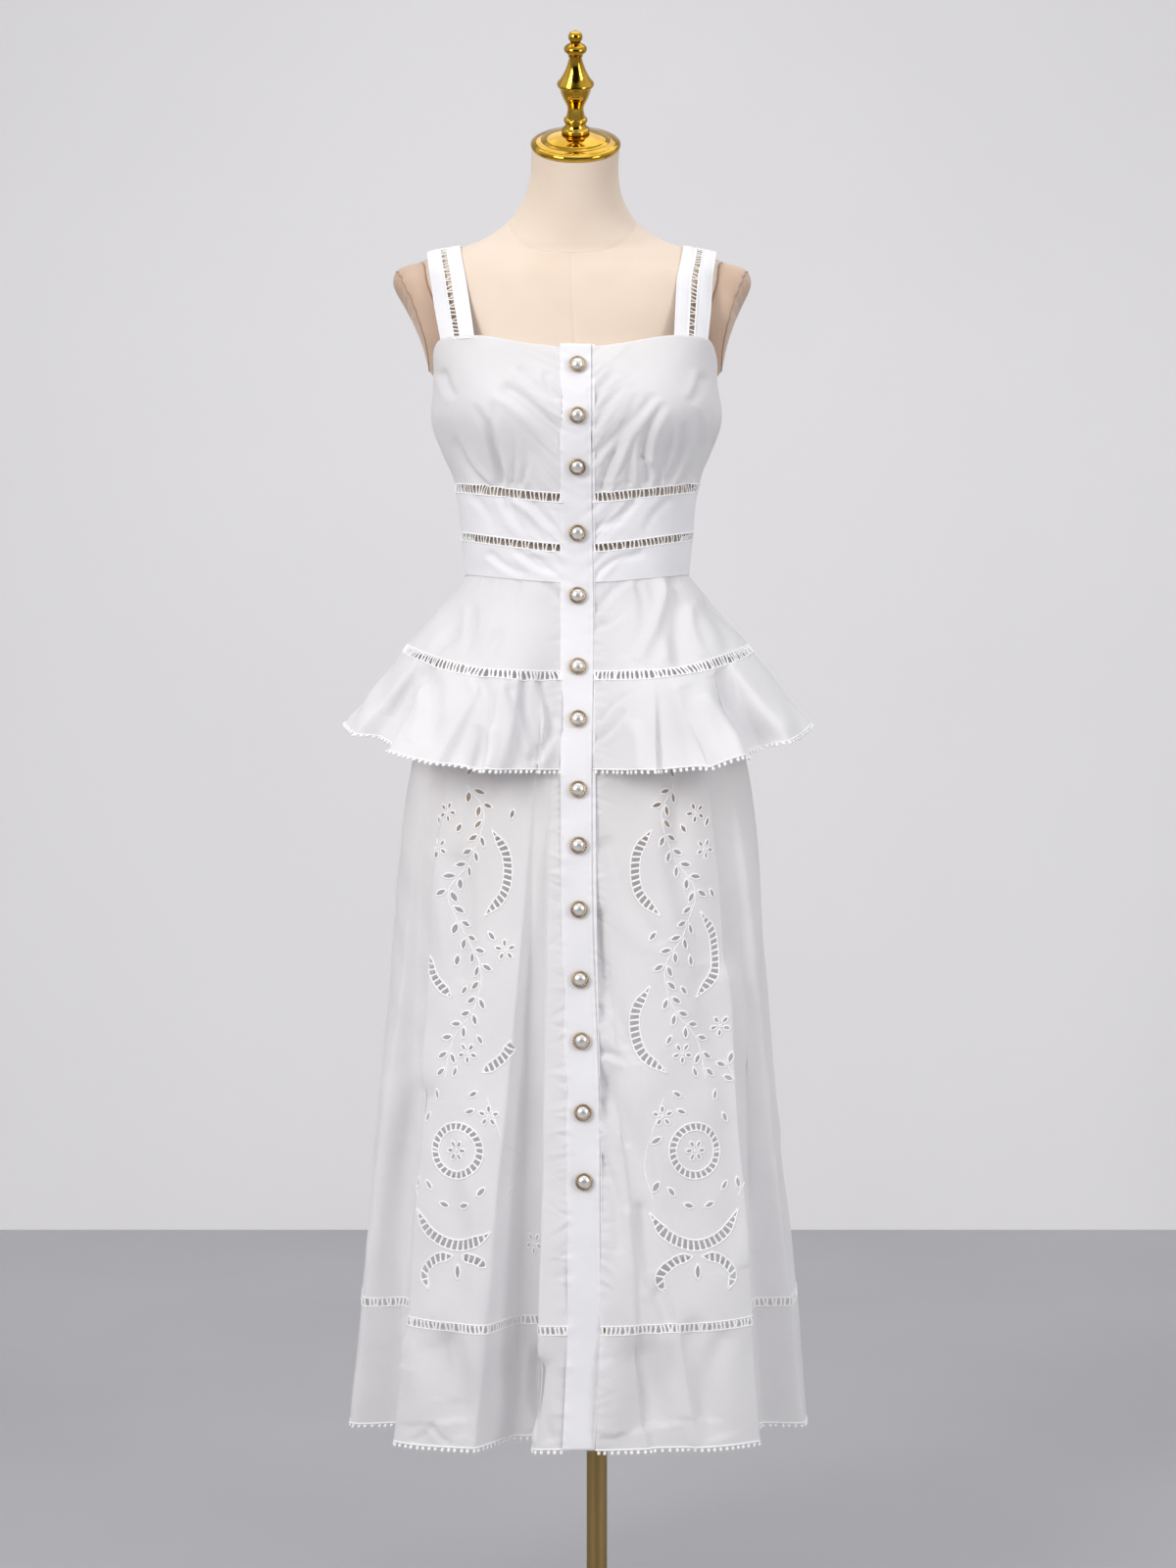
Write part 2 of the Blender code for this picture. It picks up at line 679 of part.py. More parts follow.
def join_rings(shell, rings):
    """Bridge rings of equal length, lowest first, and cap both ends flat."""
    for low, high in zip(rings, rings[1:]):
        for j in range(len(low)):
            k = (j + 1) % len(low)
            shell.faces.new((low[j], low[k], high[k]))
            shell.faces.new((low[j], high[k], high[j]))
    shell.faces.new(list(reversed(rings[0])))
    shell.faces.new(rings[-1])


def facing(foot, direction):
    """A placement that stands +Z along a direction, with its foot at a point."""
    return Matrix.Translation(foot) @ direction.to_track_quat("Z", "Y").to_matrix().to_4x4()


def torso_column(title, z):
    return curve_through([row.z for row in TORSO_ROWS], [getattr(row, title) for row in TORSO_ROWS], z)


def torso_ring(z):
    """One section of the form, on a plane that tilts forward towards the neck."""
    half, power = torso_column("half", z), torso_column("power", z)
    front, back = torso_column("front", z), torso_column("back", z)
    tilt = math.radians(torso_column("tilt", z))
    ring = []
    for k in range(FORM_SIDES):
        angle = math.tau * k / FORM_SIDES
        depth = front if math.cos(angle) > 0 else back
        radius = superellipse(angle, half, depth, power)
        along = -radius * math.cos(angle)
        x = on_line(MIDDLE_LINE, z) + radius * math.sin(angle)
        y = torso_column("y", z) + along * math.cos(tilt)
        ring.append(Vector((x, y, z + along * math.sin(tilt))))
    return ring


def torso_heights():
    """Each row's height, with more between rows that lie far apart."""
    heights = [TORSO_ROWS[0].z]
    for low, high in zip(TORSO_ROWS, TORSO_ROWS[1:]):
        count = max(1, round((high.z - low.z) / FORM_STEP))
        heights += [blend(low.z, high.z, k / count) for k in range(1, count + 1)]
    return heights


def dress_form():
    """The padded torso and neck, in one piece; returns a tree to cast rays at."""
    shell = bmesh.new()
    rings = [[shell.verts.new(p) for p in torso_ring(z)] for z in torso_heights()]
    join_rings(shell, rings)
    tree = BVHTree.FromBMesh(shell)
    add_object("form_torso", shell, "form_cover")
    return tree


def highest(tree, foot, away, *steps):
    """How far the form reaches out from a foot point, at it and a step to each side."""
    reached = []
    for step in (Vector(), *steps, *(-step for step in steps)):
        hit = tree.ray_cast(foot + step + away * RAY_START, -away)[0]
        if hit and (hit - foot).dot(away) > 0:
            reached.append((hit - foot).dot(away))
    return max(reached, default=None)


def arm_cap(name, tree, side):
    """The covered cap that closes an armhole: a low oval dome on the torso's side."""
    shell = bmesh.new()
    away = Vector((side, 0, 0))
    patch = [
        Vector((0, y, z)) * reach
        for y, z in ((1, 0), (0, 1), (1, 1), (1, -1))
        for reach in (ARM_CAP_REACH / 2, ARM_CAP_REACH)
    ]

    def spot(share, angle, lift):
        y = ARM_CAP["y"] + share * ARM_CAP["deep"] * math.cos(angle)
        z = ARM_CAP["z"] + share * ARM_CAP["tall"] * math.sin(angle)
        foot = Vector((on_line(MIDDLE_LINE, z), y, z))
        out = highest(tree, foot, away, *patch) + ARM_CAP["gap"] + lift
        return shell.verts.new(foot + away * out)

    def ring(share, lift):
        if share == 0:
            return [spot(0, 0, lift)]
        return [spot(share, math.tau * k / ARM_CAP_SIDES, lift) for k in range(ARM_CAP_SIDES)]

    top = [ring(s, 0.001 + ARM_CAP["bulge"] * math.sqrt(1 - s**4)) for s in ARM_CAP_RINGS]
    seat = [ring(s, ARM_CAP["hollow"] * (1 - s * s)) for s in ARM_CAP_RINGS]
    for rings, flip in ((top, False), (seat, True)):
        for near, far in zip(rings, rings[1:]):
            for j in range(ARM_CAP_SIDES):
                k = (j + 1) % ARM_CAP_SIDES
                if len(near) == 1:
                    faces = [(near[0], far[j], far[k])]
                else:
                    faces = [(near[j], far[j], far[k]), (near[j], far[k], near[k])]
                for face in faces:
                    shell.faces.new(face if flip else tuple(reversed(face)))
    for j in range(ARM_CAP_SIDES):
        k = (j + 1) % ARM_CAP_SIDES
        rim = (top[-1][j], top[-1][k], seat[-1][k], seat[-1][j])
        shell.faces.new((rim[0], rim[1], rim[2]))
        shell.faces.new((rim[0], rim[2], rim[3]))
    bmesh.ops.recalc_face_normals(shell, faces=shell.faces)
    return add_object(name, shell, "arm_cover")


def strap_end(bodice, side, reach, front):
    """Where a strap meets the bodice's top edge, so far out, and the way it faces."""
    low, high = (20.0, 89.0) if front else (91.0, 160.0)
    for _ in range(HALVINGS):
        middle = (low + high) / 2
        z = on_line(NECKLINE, middle)
        spot = bodice.point(side * middle, bodice.drop_at(side * middle, z))
        out = abs(spot.x - on_line(MIDDLE_LINE, z))
        if (out < reach) == front:
            low = middle
        else:
            high = middle
    drop = bodice.drop_at(side * middle, z)
    inner = spot - CLOTH * bodice.normal(side * middle, drop)
    return inner + Vector((0, 0, SEAM))


def taut(points):
    """The points of an arch that a tight band touches: its hull, seen from the side."""
    kept = []
    for point in points:
        while len(kept) > 1:
            first = kept[-1] - kept[-2]
            second = point - kept[-1]
            if first.y * second.z - first.z * second.y < 0:
                break
            kept.pop()
        kept.append(point)
    return kept


def strap_route(tree, bodice, side, offset):
    """Inner line of a strap at an offset across it, front to back over the shoulder."""
    pivot_y, pivot_z = STRAP_PIVOT
    points = [strap_end(bodice, side, STRAP_FRONT + offset, True)]
    for degrees in range(-80, 101, 5):
        angle = math.radians(degrees)
        away = Vector((0, math.sin(angle), math.cos(angle)))
        reach = curve_through((-80, 0, 100), (STRAP_FRONT, STRAP_TOP, STRAP_BACK), degrees)
        pivot = Vector((on_line(MIDDLE_LINE, 1.47) + side * (reach + offset), pivot_y, pivot_z))
        out = highest(tree, pivot, away, Vector((STRAP_REACH, 0, 0)))
        if out:
            points.append(pivot + away * (out + STRAP_CLEARANCE))
    points.append(strap_end(bodice, side, STRAP_BACK + offset, False))
    points = taut(points)
    walked = [0.0]
    for near, far in zip(points, points[1:]):
        walked.append(walked[-1] + (far - near).length)
    route = []
    for k in range(STRAP_STEPS + 1):
        place = walked[-1] * k / STRAP_STEPS
        route.append(straight_through(walked, points, place))
    return route


def straight_through(walked, points, place):
    """The point so far along a run of straight lines."""
    for k in range(len(walked) - 1):
        if place <= walked[k + 1] or k == len(walked) - 2:
            share = (place - walked[k]) / (walked[k + 1] - walked[k])
            return points[k].lerp(points[k + 1], share)
    return points[-1]


def strap_piece(name, tree, bodice, side, near, far, material):
    """One strip of a strap, between two offsets across it."""
    offsets = (near, far) if far - near < 0.01 else (near, (near + far) / 2, far)
    routes = [strap_route(tree, bodice, side, offset) for offset in offsets]
    outer, inner = [], []
    for k in range(STRAP_STEPS + 1):
        before, after = max(k - 1, 0), min(k + 1, STRAP_STEPS)
        along = routes[0][after] + routes[-1][after] - routes[0][before] - routes[-1][before]
        across = (routes[-1][k] - routes[0][k]) * side
        away = across.cross(along).normalized() * CLOTH
        row = [route[k] for route in routes]
        inner.append(row)
        outer.append([spot + away for spot in row])
    return wall(name, outer, inner, material)


def straps(tree, bodice):
    """Each strap is two strips with a ladder let in between them."""
    half, gap = STRAP_WIDTH / 2, STRAP_LADDER / 2
    for word, side in (("right", -1), ("left", 1)):
        stem = "strap_" + word
        strap_piece(stem + "_inner", tree, bodice, side, -half, -gap - SEAM / 2, "cotton")
        strap_piece(stem + "_ladder", tree, bodice, side, SEAM / 2 - gap, gap - SEAM / 2, "ladder_tape")
        strap_piece(stem + "_outer", tree, bodice, side, gap + SEAM / 2, half, "cotton")


def buttons(bodice, skirt, band):
    """A shank button at each height, standing square on the band."""
    tree = tree_of(band)
    for k, z in enumerate(BUTTON_HEIGHTS):
        normal = band_normal(bodice, skirt, z)
        before = band_point(bodice, skirt, 0, z) + normal * BUTTON_RAY
        seat = tree.ray_cast(before, -normal)[0]
        foot = seat + normal * (SEAM + BUTTON_LIFT)
        place = facing(foot, normal)
        turned(f"button_{k + 1:02d}", BUTTON_PROFILE, BUTTON_SIDES, place, "pearl_button")


def stand():
    """The neck's cap and finial, the pole and its round base."""
    tilt = math.radians(NECK_TILT)
    axis = Vector((0, -math.sin(tilt), math.cos(tilt)))
    neck = TORSO_ROWS[-1]
    foot = Vector((on_line(MIDDLE_LINE, neck.z), neck.y, neck.z)) + axis * SEAM
    turned("neck_cap", CAP_PROFILE, CAP_SIDES, facing(foot, axis), "polished_gold")
    foot += axis * (CAP_PROFILE[-1].height + SEAM)
    turned("finial", FINIAL_PROFILE, FINIAL_SIDES, facing(foot, axis), "polished_gold")
    on_base = Matrix.Translation((0, 0, BASE_HEIGHT + SEAM))
    turned("pole", POLE_PROFILE, POLE_SIDES, on_base, "brass")
    turned("base", BASE_PROFILE, BASE_SIDES, Matrix.Identity(4), "brass")


def dress(tree):
    """Every piece that a maker cuts and sews on, from the neckline to the hem."""
    bodice = Layer(BODICE_ROWS, swell=bust_swell)
    peplum = Layer(PEPLUM_ROWS, PEPLUM_FOLDS, sweep=4.0)
    skirt = Layer(SKIRT_ROWS, SKIRT_FOLDS, sweep=4.0)
    cut_in_three("bodice", bodice, "top", "ladder 1 top", 5, neckline=True)
    one_length("ladder_under_bust", bodice, "ladder 1 top", "ladder 1 foot")
    cut_in_three("upper_waistband", bodice, "ladder 1 foot", "ladder 2 top", 1)
    one_length("ladder_waist", bodice, "ladder 2 top", "ladder 2 foot")
    cut_in_three("lower_waistband", bodice, "ladder 2 foot", "waist", 1)
    cut_in_three("peplum_upper", peplum, "waist", "ladder 3 top", 3)
    one_length("ladder_peplum", peplum, "ladder 3 top", "ladder 3 foot")
    cut_in_three("peplum_lower", peplum, "ladder 3 foot", "edge", 3)
    one_length("picots_peplum", peplum, "edge", "picots")
    cut_in_three("skirt", skirt, "waist", "ladder 4 top", 8)
    one_length("ladder_hem", skirt, "ladder 4 top", "ladder 4 foot")
    cut_in_three("hem_band", skirt, "ladder 4 foot", "edge", 2)
    one_length("picots_hem", skirt, "edge", "picots")
    band = button_band(bodice, peplum, skirt)
    buttons(bodice, skirt, band)
    straps(tree, bodice)


def main():
    clear_scene()
    tree = dress_form()
    arm_cap("arm_cap_right", tree, -1)
    arm_cap("arm_cap_left", tree, 1)
    stand()
    dress(tree)


main()
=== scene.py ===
# %% [markdown]
# # A white cotton dress on a dress form
#
# The garment is a button-through midi dress: a gathered bust between two straps, a double
# waistband, a flared peplum and a long skirt with cutwork embroidery. It hangs on a limbless
# dress form with a turned gold finial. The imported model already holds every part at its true
# size, so this lesson only gives each part its fine shape and its finish, in the same frame.
# Sizes are in metres, and most of them stand in small tables with named columns.

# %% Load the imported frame
import math
from collections import namedtuple

import bpy
import numpy as np
from mathutils import Matrix, Vector
from mathutils.bvhtree import BVHTree


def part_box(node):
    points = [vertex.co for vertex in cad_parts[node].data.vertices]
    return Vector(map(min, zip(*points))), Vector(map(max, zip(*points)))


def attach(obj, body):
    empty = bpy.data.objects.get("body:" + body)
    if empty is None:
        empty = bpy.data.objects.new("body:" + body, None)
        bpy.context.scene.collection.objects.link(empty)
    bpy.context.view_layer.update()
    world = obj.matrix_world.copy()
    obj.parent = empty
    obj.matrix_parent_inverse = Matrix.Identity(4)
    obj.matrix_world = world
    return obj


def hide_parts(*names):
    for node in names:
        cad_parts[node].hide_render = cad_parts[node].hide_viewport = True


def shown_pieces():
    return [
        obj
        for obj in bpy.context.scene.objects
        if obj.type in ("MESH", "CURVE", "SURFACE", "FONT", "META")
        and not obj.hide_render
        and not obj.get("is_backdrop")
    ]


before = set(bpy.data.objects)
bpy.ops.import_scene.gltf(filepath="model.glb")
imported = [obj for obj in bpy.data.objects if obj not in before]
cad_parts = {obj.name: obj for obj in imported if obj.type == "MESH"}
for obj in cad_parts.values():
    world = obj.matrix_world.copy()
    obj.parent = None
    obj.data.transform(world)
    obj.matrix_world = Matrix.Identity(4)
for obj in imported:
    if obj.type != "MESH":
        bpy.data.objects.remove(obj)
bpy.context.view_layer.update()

scene = bpy.context.scene
print("parts in the frame:", len(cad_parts))

# %% Define how a table is read
def table(kind, text):
    """Rows of a small table, parted by commas or line ends; words and numbers by spaces."""
    rows = [row.split() for row in text.strip().replace("\n", ",").split(",")]
    return [kind(*(w if w[0].isalpha() else float(w) for w in row)) for row in rows]


print("tables have named columns")

# %% [markdown]
# ## The camera
# A garment is shown from far away with a long lens, so that the shoulders and the hem keep
# their true proportions. The camera stands level with the hips, and a small lens shift
# brings the hem and the finial into one picture without tilting the view.

# %% Place the camera
EYE = Vector((-0.0095, -3.300, 1.024))
LENS_MM = 70.7
LENS_SHIFT = -0.0625

camera_data = bpy.data.cameras.new("camera")
camera_data.lens = LENS_MM
camera_data.shift_y = LENS_SHIFT
camera = bpy.data.objects.new("camera", camera_data)
camera.location = EYE
camera.rotation_euler = (math.radians(90), 0, 0)
scene.collection.objects.link(camera)
scene.camera = camera
print("camera is", round(-EYE.y, 2), "m in front of the pole")

# %% [markdown]
# ## Tools for finishes
# A finish is a small tree of nodes: something uneven, such as noise, drives the colour
# a little, and something finer drives a bump. These helpers keep each finish short to read.

# %% Define the finish tools
EVEN = (1.0, 1.0, 1.0)


def plug(tree, node, **inputs):
    """Fill a node's sockets by a link or a value; _ stands for a space, or before a number."""
    for title, value in inputs.items():
        title = title.replace("_", " ").strip()
        place = node.inputs[int(title) if title.isdigit() else title]
        if isinstance(value, bpy.types.NodeSocket):
            tree.links.new(value, place)
        else:
            place.default_value = value


def socket(tree, kind, output, settings=None, **inputs):
    """Add a node, fill it, and return one of its outputs."""
    node = tree.nodes.new("ShaderNode" + kind)
    for title, value in (settings or {}).items():
        setattr(node, title, value)
    plug(tree, node, **inputs)
    return node.outputs[output]


def uneven(tree, scale, detail, stretch=EVEN):
    """Noise over the object's own metres; scale is how many bumps to a metre."""
    place = socket(tree, "TexCoord", "Object")
    place = socket(tree, "Mapping", "Vector", Vector=place, Scale=stretch)
    return socket(tree, "TexNoise", "Fac", Vector=place, Scale=scale, Detail=detail)


def ramp(tree, amount, stops):
    """A colour by an amount; each stop is an amount and its colour."""
    node = tree.nodes.new("ShaderNodeValToRGB")
    bar = node.color_ramp.elements
    for k, (at, colour) in enumerate(stops):
        stop = bar[k] if k < 2 else bar.new(at)
        stop.position, stop.color = at, (*colour, 1.0)
    tree.links.new(amount, node.inputs["Fac"])
    return node.outputs["Color"]


def calculate(tree, operation, *numbers):
    """One step of arithmetic."""
    numbers = {f"_{k}": number for k, number in enumerate(numbers)}
    return socket(tree, "Math", 0, dict(operation=operation), **numbers)


def blend(tree, share, colour, other):
    """A colour that turns into another as the share rises."""
    return socket(tree, "Mix", 2, dict(data_type="RGBA"), _0=share, _6=colour, _7=(*other, 1.0))


def mix_shaders(tree, share, first, second):
    """Show two shaders, the second by its share."""
    both = socket(tree, "MixShader", "Shader", _0=share, _1=first, _2=second)
    plug(tree, tree.nodes["Material Output"], Surface=both)


def add_bump(tree, shader, height, strength, distance, under=None):
    """Raise the surface by a height; under is the normal of a coarser bump."""
    below = dict(Normal=under) if under else {}
    normal = socket(
        tree, "Bump", "Normal", Height=height, Strength=strength, Distance=distance, **below
    )
    plug(tree, shader, Normal=normal)
    return normal


def surface(name, dark, light, tone, bump=None, stretch=EVEN, change=None, **values):
    """A finish whose colour and relief are uneven: a material with its tree, shader, colour
    and tone. tone and bump start with a noise; bump ends with its strength and distance."""
    made = bpy.data.materials.new(name)
    made.use_nodes = True
    tree = made.node_tree
    shader = tree.nodes["Principled BSDF"]
    amount = uneven(tree, *tone, stretch)
    colour = ramp(tree, amount, [(0.35, dark), (0.65, light)])
    colour = change(tree, colour) if change else colour
    plug(tree, shader, Base_Color=colour, **values)
    if bump:
        add_bump(tree, shader, uneven(tree, *bump[:2], stretch), *bump[2:])
    return made, tree, shader, colour, amount


print("finish tools ready")

# %% [markdown]
# ## Light and stage
# White cloth shows its folds only if one side is a little brighter than the other. A wide
# soft lamp stands in front on the wearer's right, a weaker one on the left, and the pale
# room fills the shade. The two lamps also give polished metal its pair of highlights. The
# floor and wall are plain, and they are staging, not part of the object.

# %% Hang the lamps
Lamp = namedtuple("Lamp", "name place aim width height watts spread colour")
LAMPS = [
    Lamp("key", (-2.10, -2.60, 2.35), (0.0, 0.0, 1.38), 1.3, 1.8, 20.0, 100, (1.0, 0.985, 0.97)),
    Lamp("fill", (2.50, -2.20, 1.90), (0.0, 0.0, 1.33), 1.0, 1.5, 8.7, 100, (0.99, 0.985, 1.0)),
    Lamp("top", (0.10, 0.20, 3.30), (0.0, 0.0, 1.0), 2.2, 2.2, 14.0, 180, (1.0, 1.0, 1.0)),
]


def hang_lamp(lamp):
    data = bpy.data.lights.new(lamp.name, "AREA")
    data.shape = "RECTANGLE"
    data.size, data.size_y, data.energy = lamp.width, lamp.height, lamp.watts
    data.spread = math.radians(lamp.spread)
    data.color = lamp.colour
    item = bpy.data.objects.new(lamp.name, data)
    item.location = lamp.place
    aim = Vector(lamp.aim) - Vector(lamp.place)
    item.rotation_euler = aim.to_track_quat("-Z", "Y").to_euler()
    scene.collection.objects.link(item)


for lamp in LAMPS:
    hang_lamp(lamp)
print("lamps:", [lamp.name for lamp in LAMPS])

# %% Light the room
ROOM_LIGHT = 0.755
ROOM_BANDS = [              # how bright the room is, from the floor to straight up
    (0.00, (0.46, 0.46, 0.48)),
    (0.46, (0.36, 0.36, 0.37)),
    (0.54, (0.80, 0.80, 0.81)),
    (0.75, (1.00, 1.00, 1.00)),
    (1.00, (0.90, 0.92, 0.95)),
]
FRONT_DARK = (0.02, 0.018, 0.018)
FRONT_FLATTEN = 0.30         # the dark patch is wider than it is high
FRONT_PATCH = dict(From_Min=-0.88, From_Max=-0.62, To_Min=1.0, To_Max=0.0)


def light_room():
    """A room that is brighter above than below, with a dark patch behind the camera.

    Only mirrored light meets the patch, so metal and pearls show it and cloth doesn't."""
    room = bpy.data.worlds.new("pale room")
    room.use_nodes = True
    tree = room.node_tree
    place = socket(tree, "TexCoord", "Generated")
    y, z = (socket(tree, "SeparateXYZ", axis, _0=place) for axis in "YZ")
    rise = socket(tree, "MapRange", "Result", Value=z, From_Min=-1.0)
    toward = calculate(tree, "MULTIPLY_ADD", calculate(tree, "ABSOLUTE", z), FRONT_FLATTEN, y)
    patch = socket(
        tree, "MapRange", "Result", dict(interpolation_type="SMOOTHSTEP"), Value=toward,
        **FRONT_PATCH,
    )
    shine = socket(tree, "LightPath", "Is Glossy Ray")
    patch = calculate(tree, "MULTIPLY", patch, shine)
    colour = blend(tree, patch, ramp(tree, rise, ROOM_BANDS), FRONT_DARK)
    plug(tree, tree.nodes["Background"], Strength=ROOM_LIGHT, Color=colour)
    scene.world = room
    scene.view_settings.view_transform = "Standard"


light_room()
print("room light:", ROOM_LIGHT)

# %% [markdown]
# ## Cotton
# The dress is fine white cotton: matt, faintly bluish, with slightly thicker threads here
# and there, and thin enough that some light comes through. Two stretched noises make the
# thick threads, one along and one across, and a Translucent shader lets the light through.

# %% Make the cotton finishes
THREADS = ((1.0, 1.0, 0.05), (0.05, 0.05, 1.0))  # noise stretched along and across
CRUMPLE = 0.45               # strength of the faint crumpling all over the cloth


def cotton(name, dark, light, glow):
    """Woven cotton; glow is the share of light that passes through the cloth."""
    made, tree, shader, colour, tone = surface(
        name, dark, light, (14.0, 4.0), Roughness=0.86, Sheen_Weight=0.12, Sheen_Roughness=0.5
    )
    normal = add_bump(tree, shader, uneven(tree, 56.0, 4.0), CRUMPLE, 0.0013)
    for stretch in THREADS:
        thick = uneven(tree, 1400.0, 1.0, stretch)
        normal = add_bump(tree, shader, thick, 0.22, 0.0003, under=normal)
    if glow:
        through = socket(tree, "BsdfTranslucent", "BSDF", Color=colour, Normal=normal)
        mix_shaders(tree, glow, shader.outputs["BSDF"], through)
    return made


COTTON = cotton("cotton voile", (0.91, 0.90, 0.915), (0.945, 0.935, 0.945), 0.30)
# The hem band's cotton is the same cloth in a darker colour: painted shade for the low hem,
# furthest from the lamps and over the shaded hollow inside the skirt.
SHADED_HEM_COTTON = cotton("hem cotton with painted shade", (0.865, 0.855, 0.87), (0.90, 0.89, 0.90), 0.30)
DOUBLE_COTTON = cotton("double cotton", (0.80, 0.79, 0.815), (0.84, 0.83, 0.855), 0.0)
THREAD = cotton("embroidery thread", (0.945, 0.94, 0.94), (0.975, 0.97, 0.97), 0.0)
print("cotton finishes:", [m.name for m in (COTTON, SHADED_HEM_COTTON, DOUBLE_COTTON, THREAD)])

# %% [markdown]
# ## The form's cover and the metals
# The form is padded and covered with a flesh-coloured jersey; its arm caps have a darker,
# shinier one. The finial is gold-plated and mirror-bright, with the faintest haze, while the
# pole is duller brass that was brushed along its length.

# %% Make the form and metal finishes
SHOULDER_TIP = (0.168, 0.196)           # metres from the middle where the cover darkens
TIP_COLOUR = (0.60, 0.44, 0.33)


def darker_tips(tree, colour):
    """Darken the cover out towards the shoulders' tips."""
    side = socket(tree, "SeparateXYZ", "X", _0=socket(tree, "TexCoord", "Object"))
    start, stop = SHOULDER_TIP
    share = socket(
        tree, "MapRange", "Result", Value=calculate(tree, "ABSOLUTE", side), From_Min=start,
        From_Max=stop,
    )
    return blend(tree, share, colour, TIP_COLOUR)


def jersey(name, dark, light, sheen, change=None):
    """A fine stretched knit: almost smooth, with a soft sheen."""
    return surface(
        name, dark, light, (7.0, 3.0), (1100.0, 1.0, 0.12, 0.0002), change=change,
        Roughness=0.72, Sheen_Weight=sheen, Sheen_Roughness=0.4,
    )[0]


def metal(name, dark, light, smooth, rough, stretch=EVEN):
    """Plated metal; its gloss varies between two roughness values."""
    made, tree, shader, colour, tone = surface(
        name, dark, light, (40.0, 3.0), (300.0, 2.0, 0.03, 0.0002), stretch, Metallic=1.0
    )
    gloss = socket(tree, "MapRange", "Result", Value=tone, To_Min=smooth, To_Max=rough)
    plug(tree, shader, Roughness=gloss)
    return made


JERSEY = jersey("form jersey", (0.735, 0.60, 0.485), (0.795, 0.67, 0.56), 0.2, darker_tips)
ARM_JERSEY = jersey("arm cap jersey", (0.52, 0.36, 0.265), (0.72, 0.54, 0.42), 0.5)
CORD_JERSEY = jersey("arm cap cord", (0.36, 0.24, 0.17), (0.46, 0.32, 0.24), 0.3)
GOLD = metal("polished gold", (0.50, 0.285, 0.025), (0.74, 0.46, 0.07), 0.05, 0.12)
BRASS = metal("brushed brass", (0.30, 0.20, 0.075), (0.42, 0.29, 0.12), 0.28, 0.42, (1, 1, 0.04))
BUTTON_GOLD = metal("button gilt", (0.37, 0.265, 0.165), (0.59, 0.46, 0.315), 0.20, 0.36)
PEARL = surface(             # off-white with a hint of pink; it mirrors the room softly
    "button pearl", (0.80, 0.78, 0.77), (0.93, 0.91, 0.89), (160.0, 1.0),
    (220.0, 1.0, 0.010, 0.0001), Roughness=0.27, Metallic=0.70,
)[0]
print("form and metal finishes:", [m.name for m in (JERSEY, ARM_JERSEY, GOLD, BRASS, PEARL)])

# %% Lay the floor and stand the wall
FLOOR_REACH = 7.0
WALL_Y = 2.50


def paint(name, dark, light, roughness):
    relief = (120.0, 2.0, 0.02, 0.001)
    return surface(name, dark, light, (1.3, 3.0), relief, Roughness=roughness)[:3]


def stage_sheet(name, corners, finish):
    mesh = bpy.data.meshes.new(name)
    mesh.from_pydata(corners, [], [(0, 1, 2, 3)])
    mesh.materials.append(finish)
    item = bpy.data.objects.new(name, mesh)
    scene.collection.objects.link(item)
    item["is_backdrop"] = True


left, right = -FLOOR_REACH, FLOOR_REACH
floor_paint = paint("floor paint", (0.41, 0.41, 0.43), (0.44, 0.44, 0.46), 0.45)[0]
floor_corners = [(left, left, 0), (right, left, 0), (right, WALL_Y, 0), (left, WALL_Y, 0)]
stage_sheet("floor", floor_corners, floor_paint)
wall_paint, tree, shader = paint("wall paint", (0.91, 0.895, 0.91), (0.93, 0.915, 0.93), 0.8)
mix_shaders(                 # clear from its back, so that the dress can be seen all round
    tree, socket(tree, "NewGeometry", "Backfacing"), shader.outputs["BSDF"],
    socket(tree, "BsdfTransparent", "BSDF"),
)
wall_foot = [(left, WALL_Y, 0), (right, WALL_Y, 0)]
stage_sheet("wall", wall_foot + [(right, WALL_Y, right), (left, WALL_Y, right)], wall_paint)
print("wall stands", WALL_Y, "m behind the pole")

# %% [markdown]
# ## The lines and sections of the dress
# Every cloth piece is cut from a layer: a surface read by the angle round the body (0 at the
# front, 90 at the wearer's left) and by the drop below the layer's first row. The tables
# hold the sizes that the dress was drawn with. All the pieces of a layer lie in one surface,
# so neighbours meet along their seams whatever the folds do.

# %% Write down the lines
Bend = namedtuple("Bend", "z x")
MIDDLE_LINE = table(Bend, """
.25 -.0195, 1.14 -.021, 1.38 -.0235, 1.48 -.027, 1.6 -.0226
""")
BAND_LINE = table(Bend, """
.25 -.0175, .37 -.0125, .52 -.0136, .8 -.0188, 1 -.02, 1.38 -.0205
""")
Front = namedtuple("Front", "z depth")
FRONT_LINE = table(Front, """
.249 .2, .447 .186, .7 .162, .933 .139, 1.03 .119, 1.085 .106, 1.131 .1, 1.167 .101, 1.219 .108
1.262 .119, 1.3 .127, 1.375 .11, 1.4 .104
""")
BAND_WIDTH = 0.0364
BAND_PROUD = 0.0012
BAND_TUCK = 0.0030           # how far the panels run under the band
print("the band runs from", MIDDLE_LINE[0].z, "m up to the neckline")

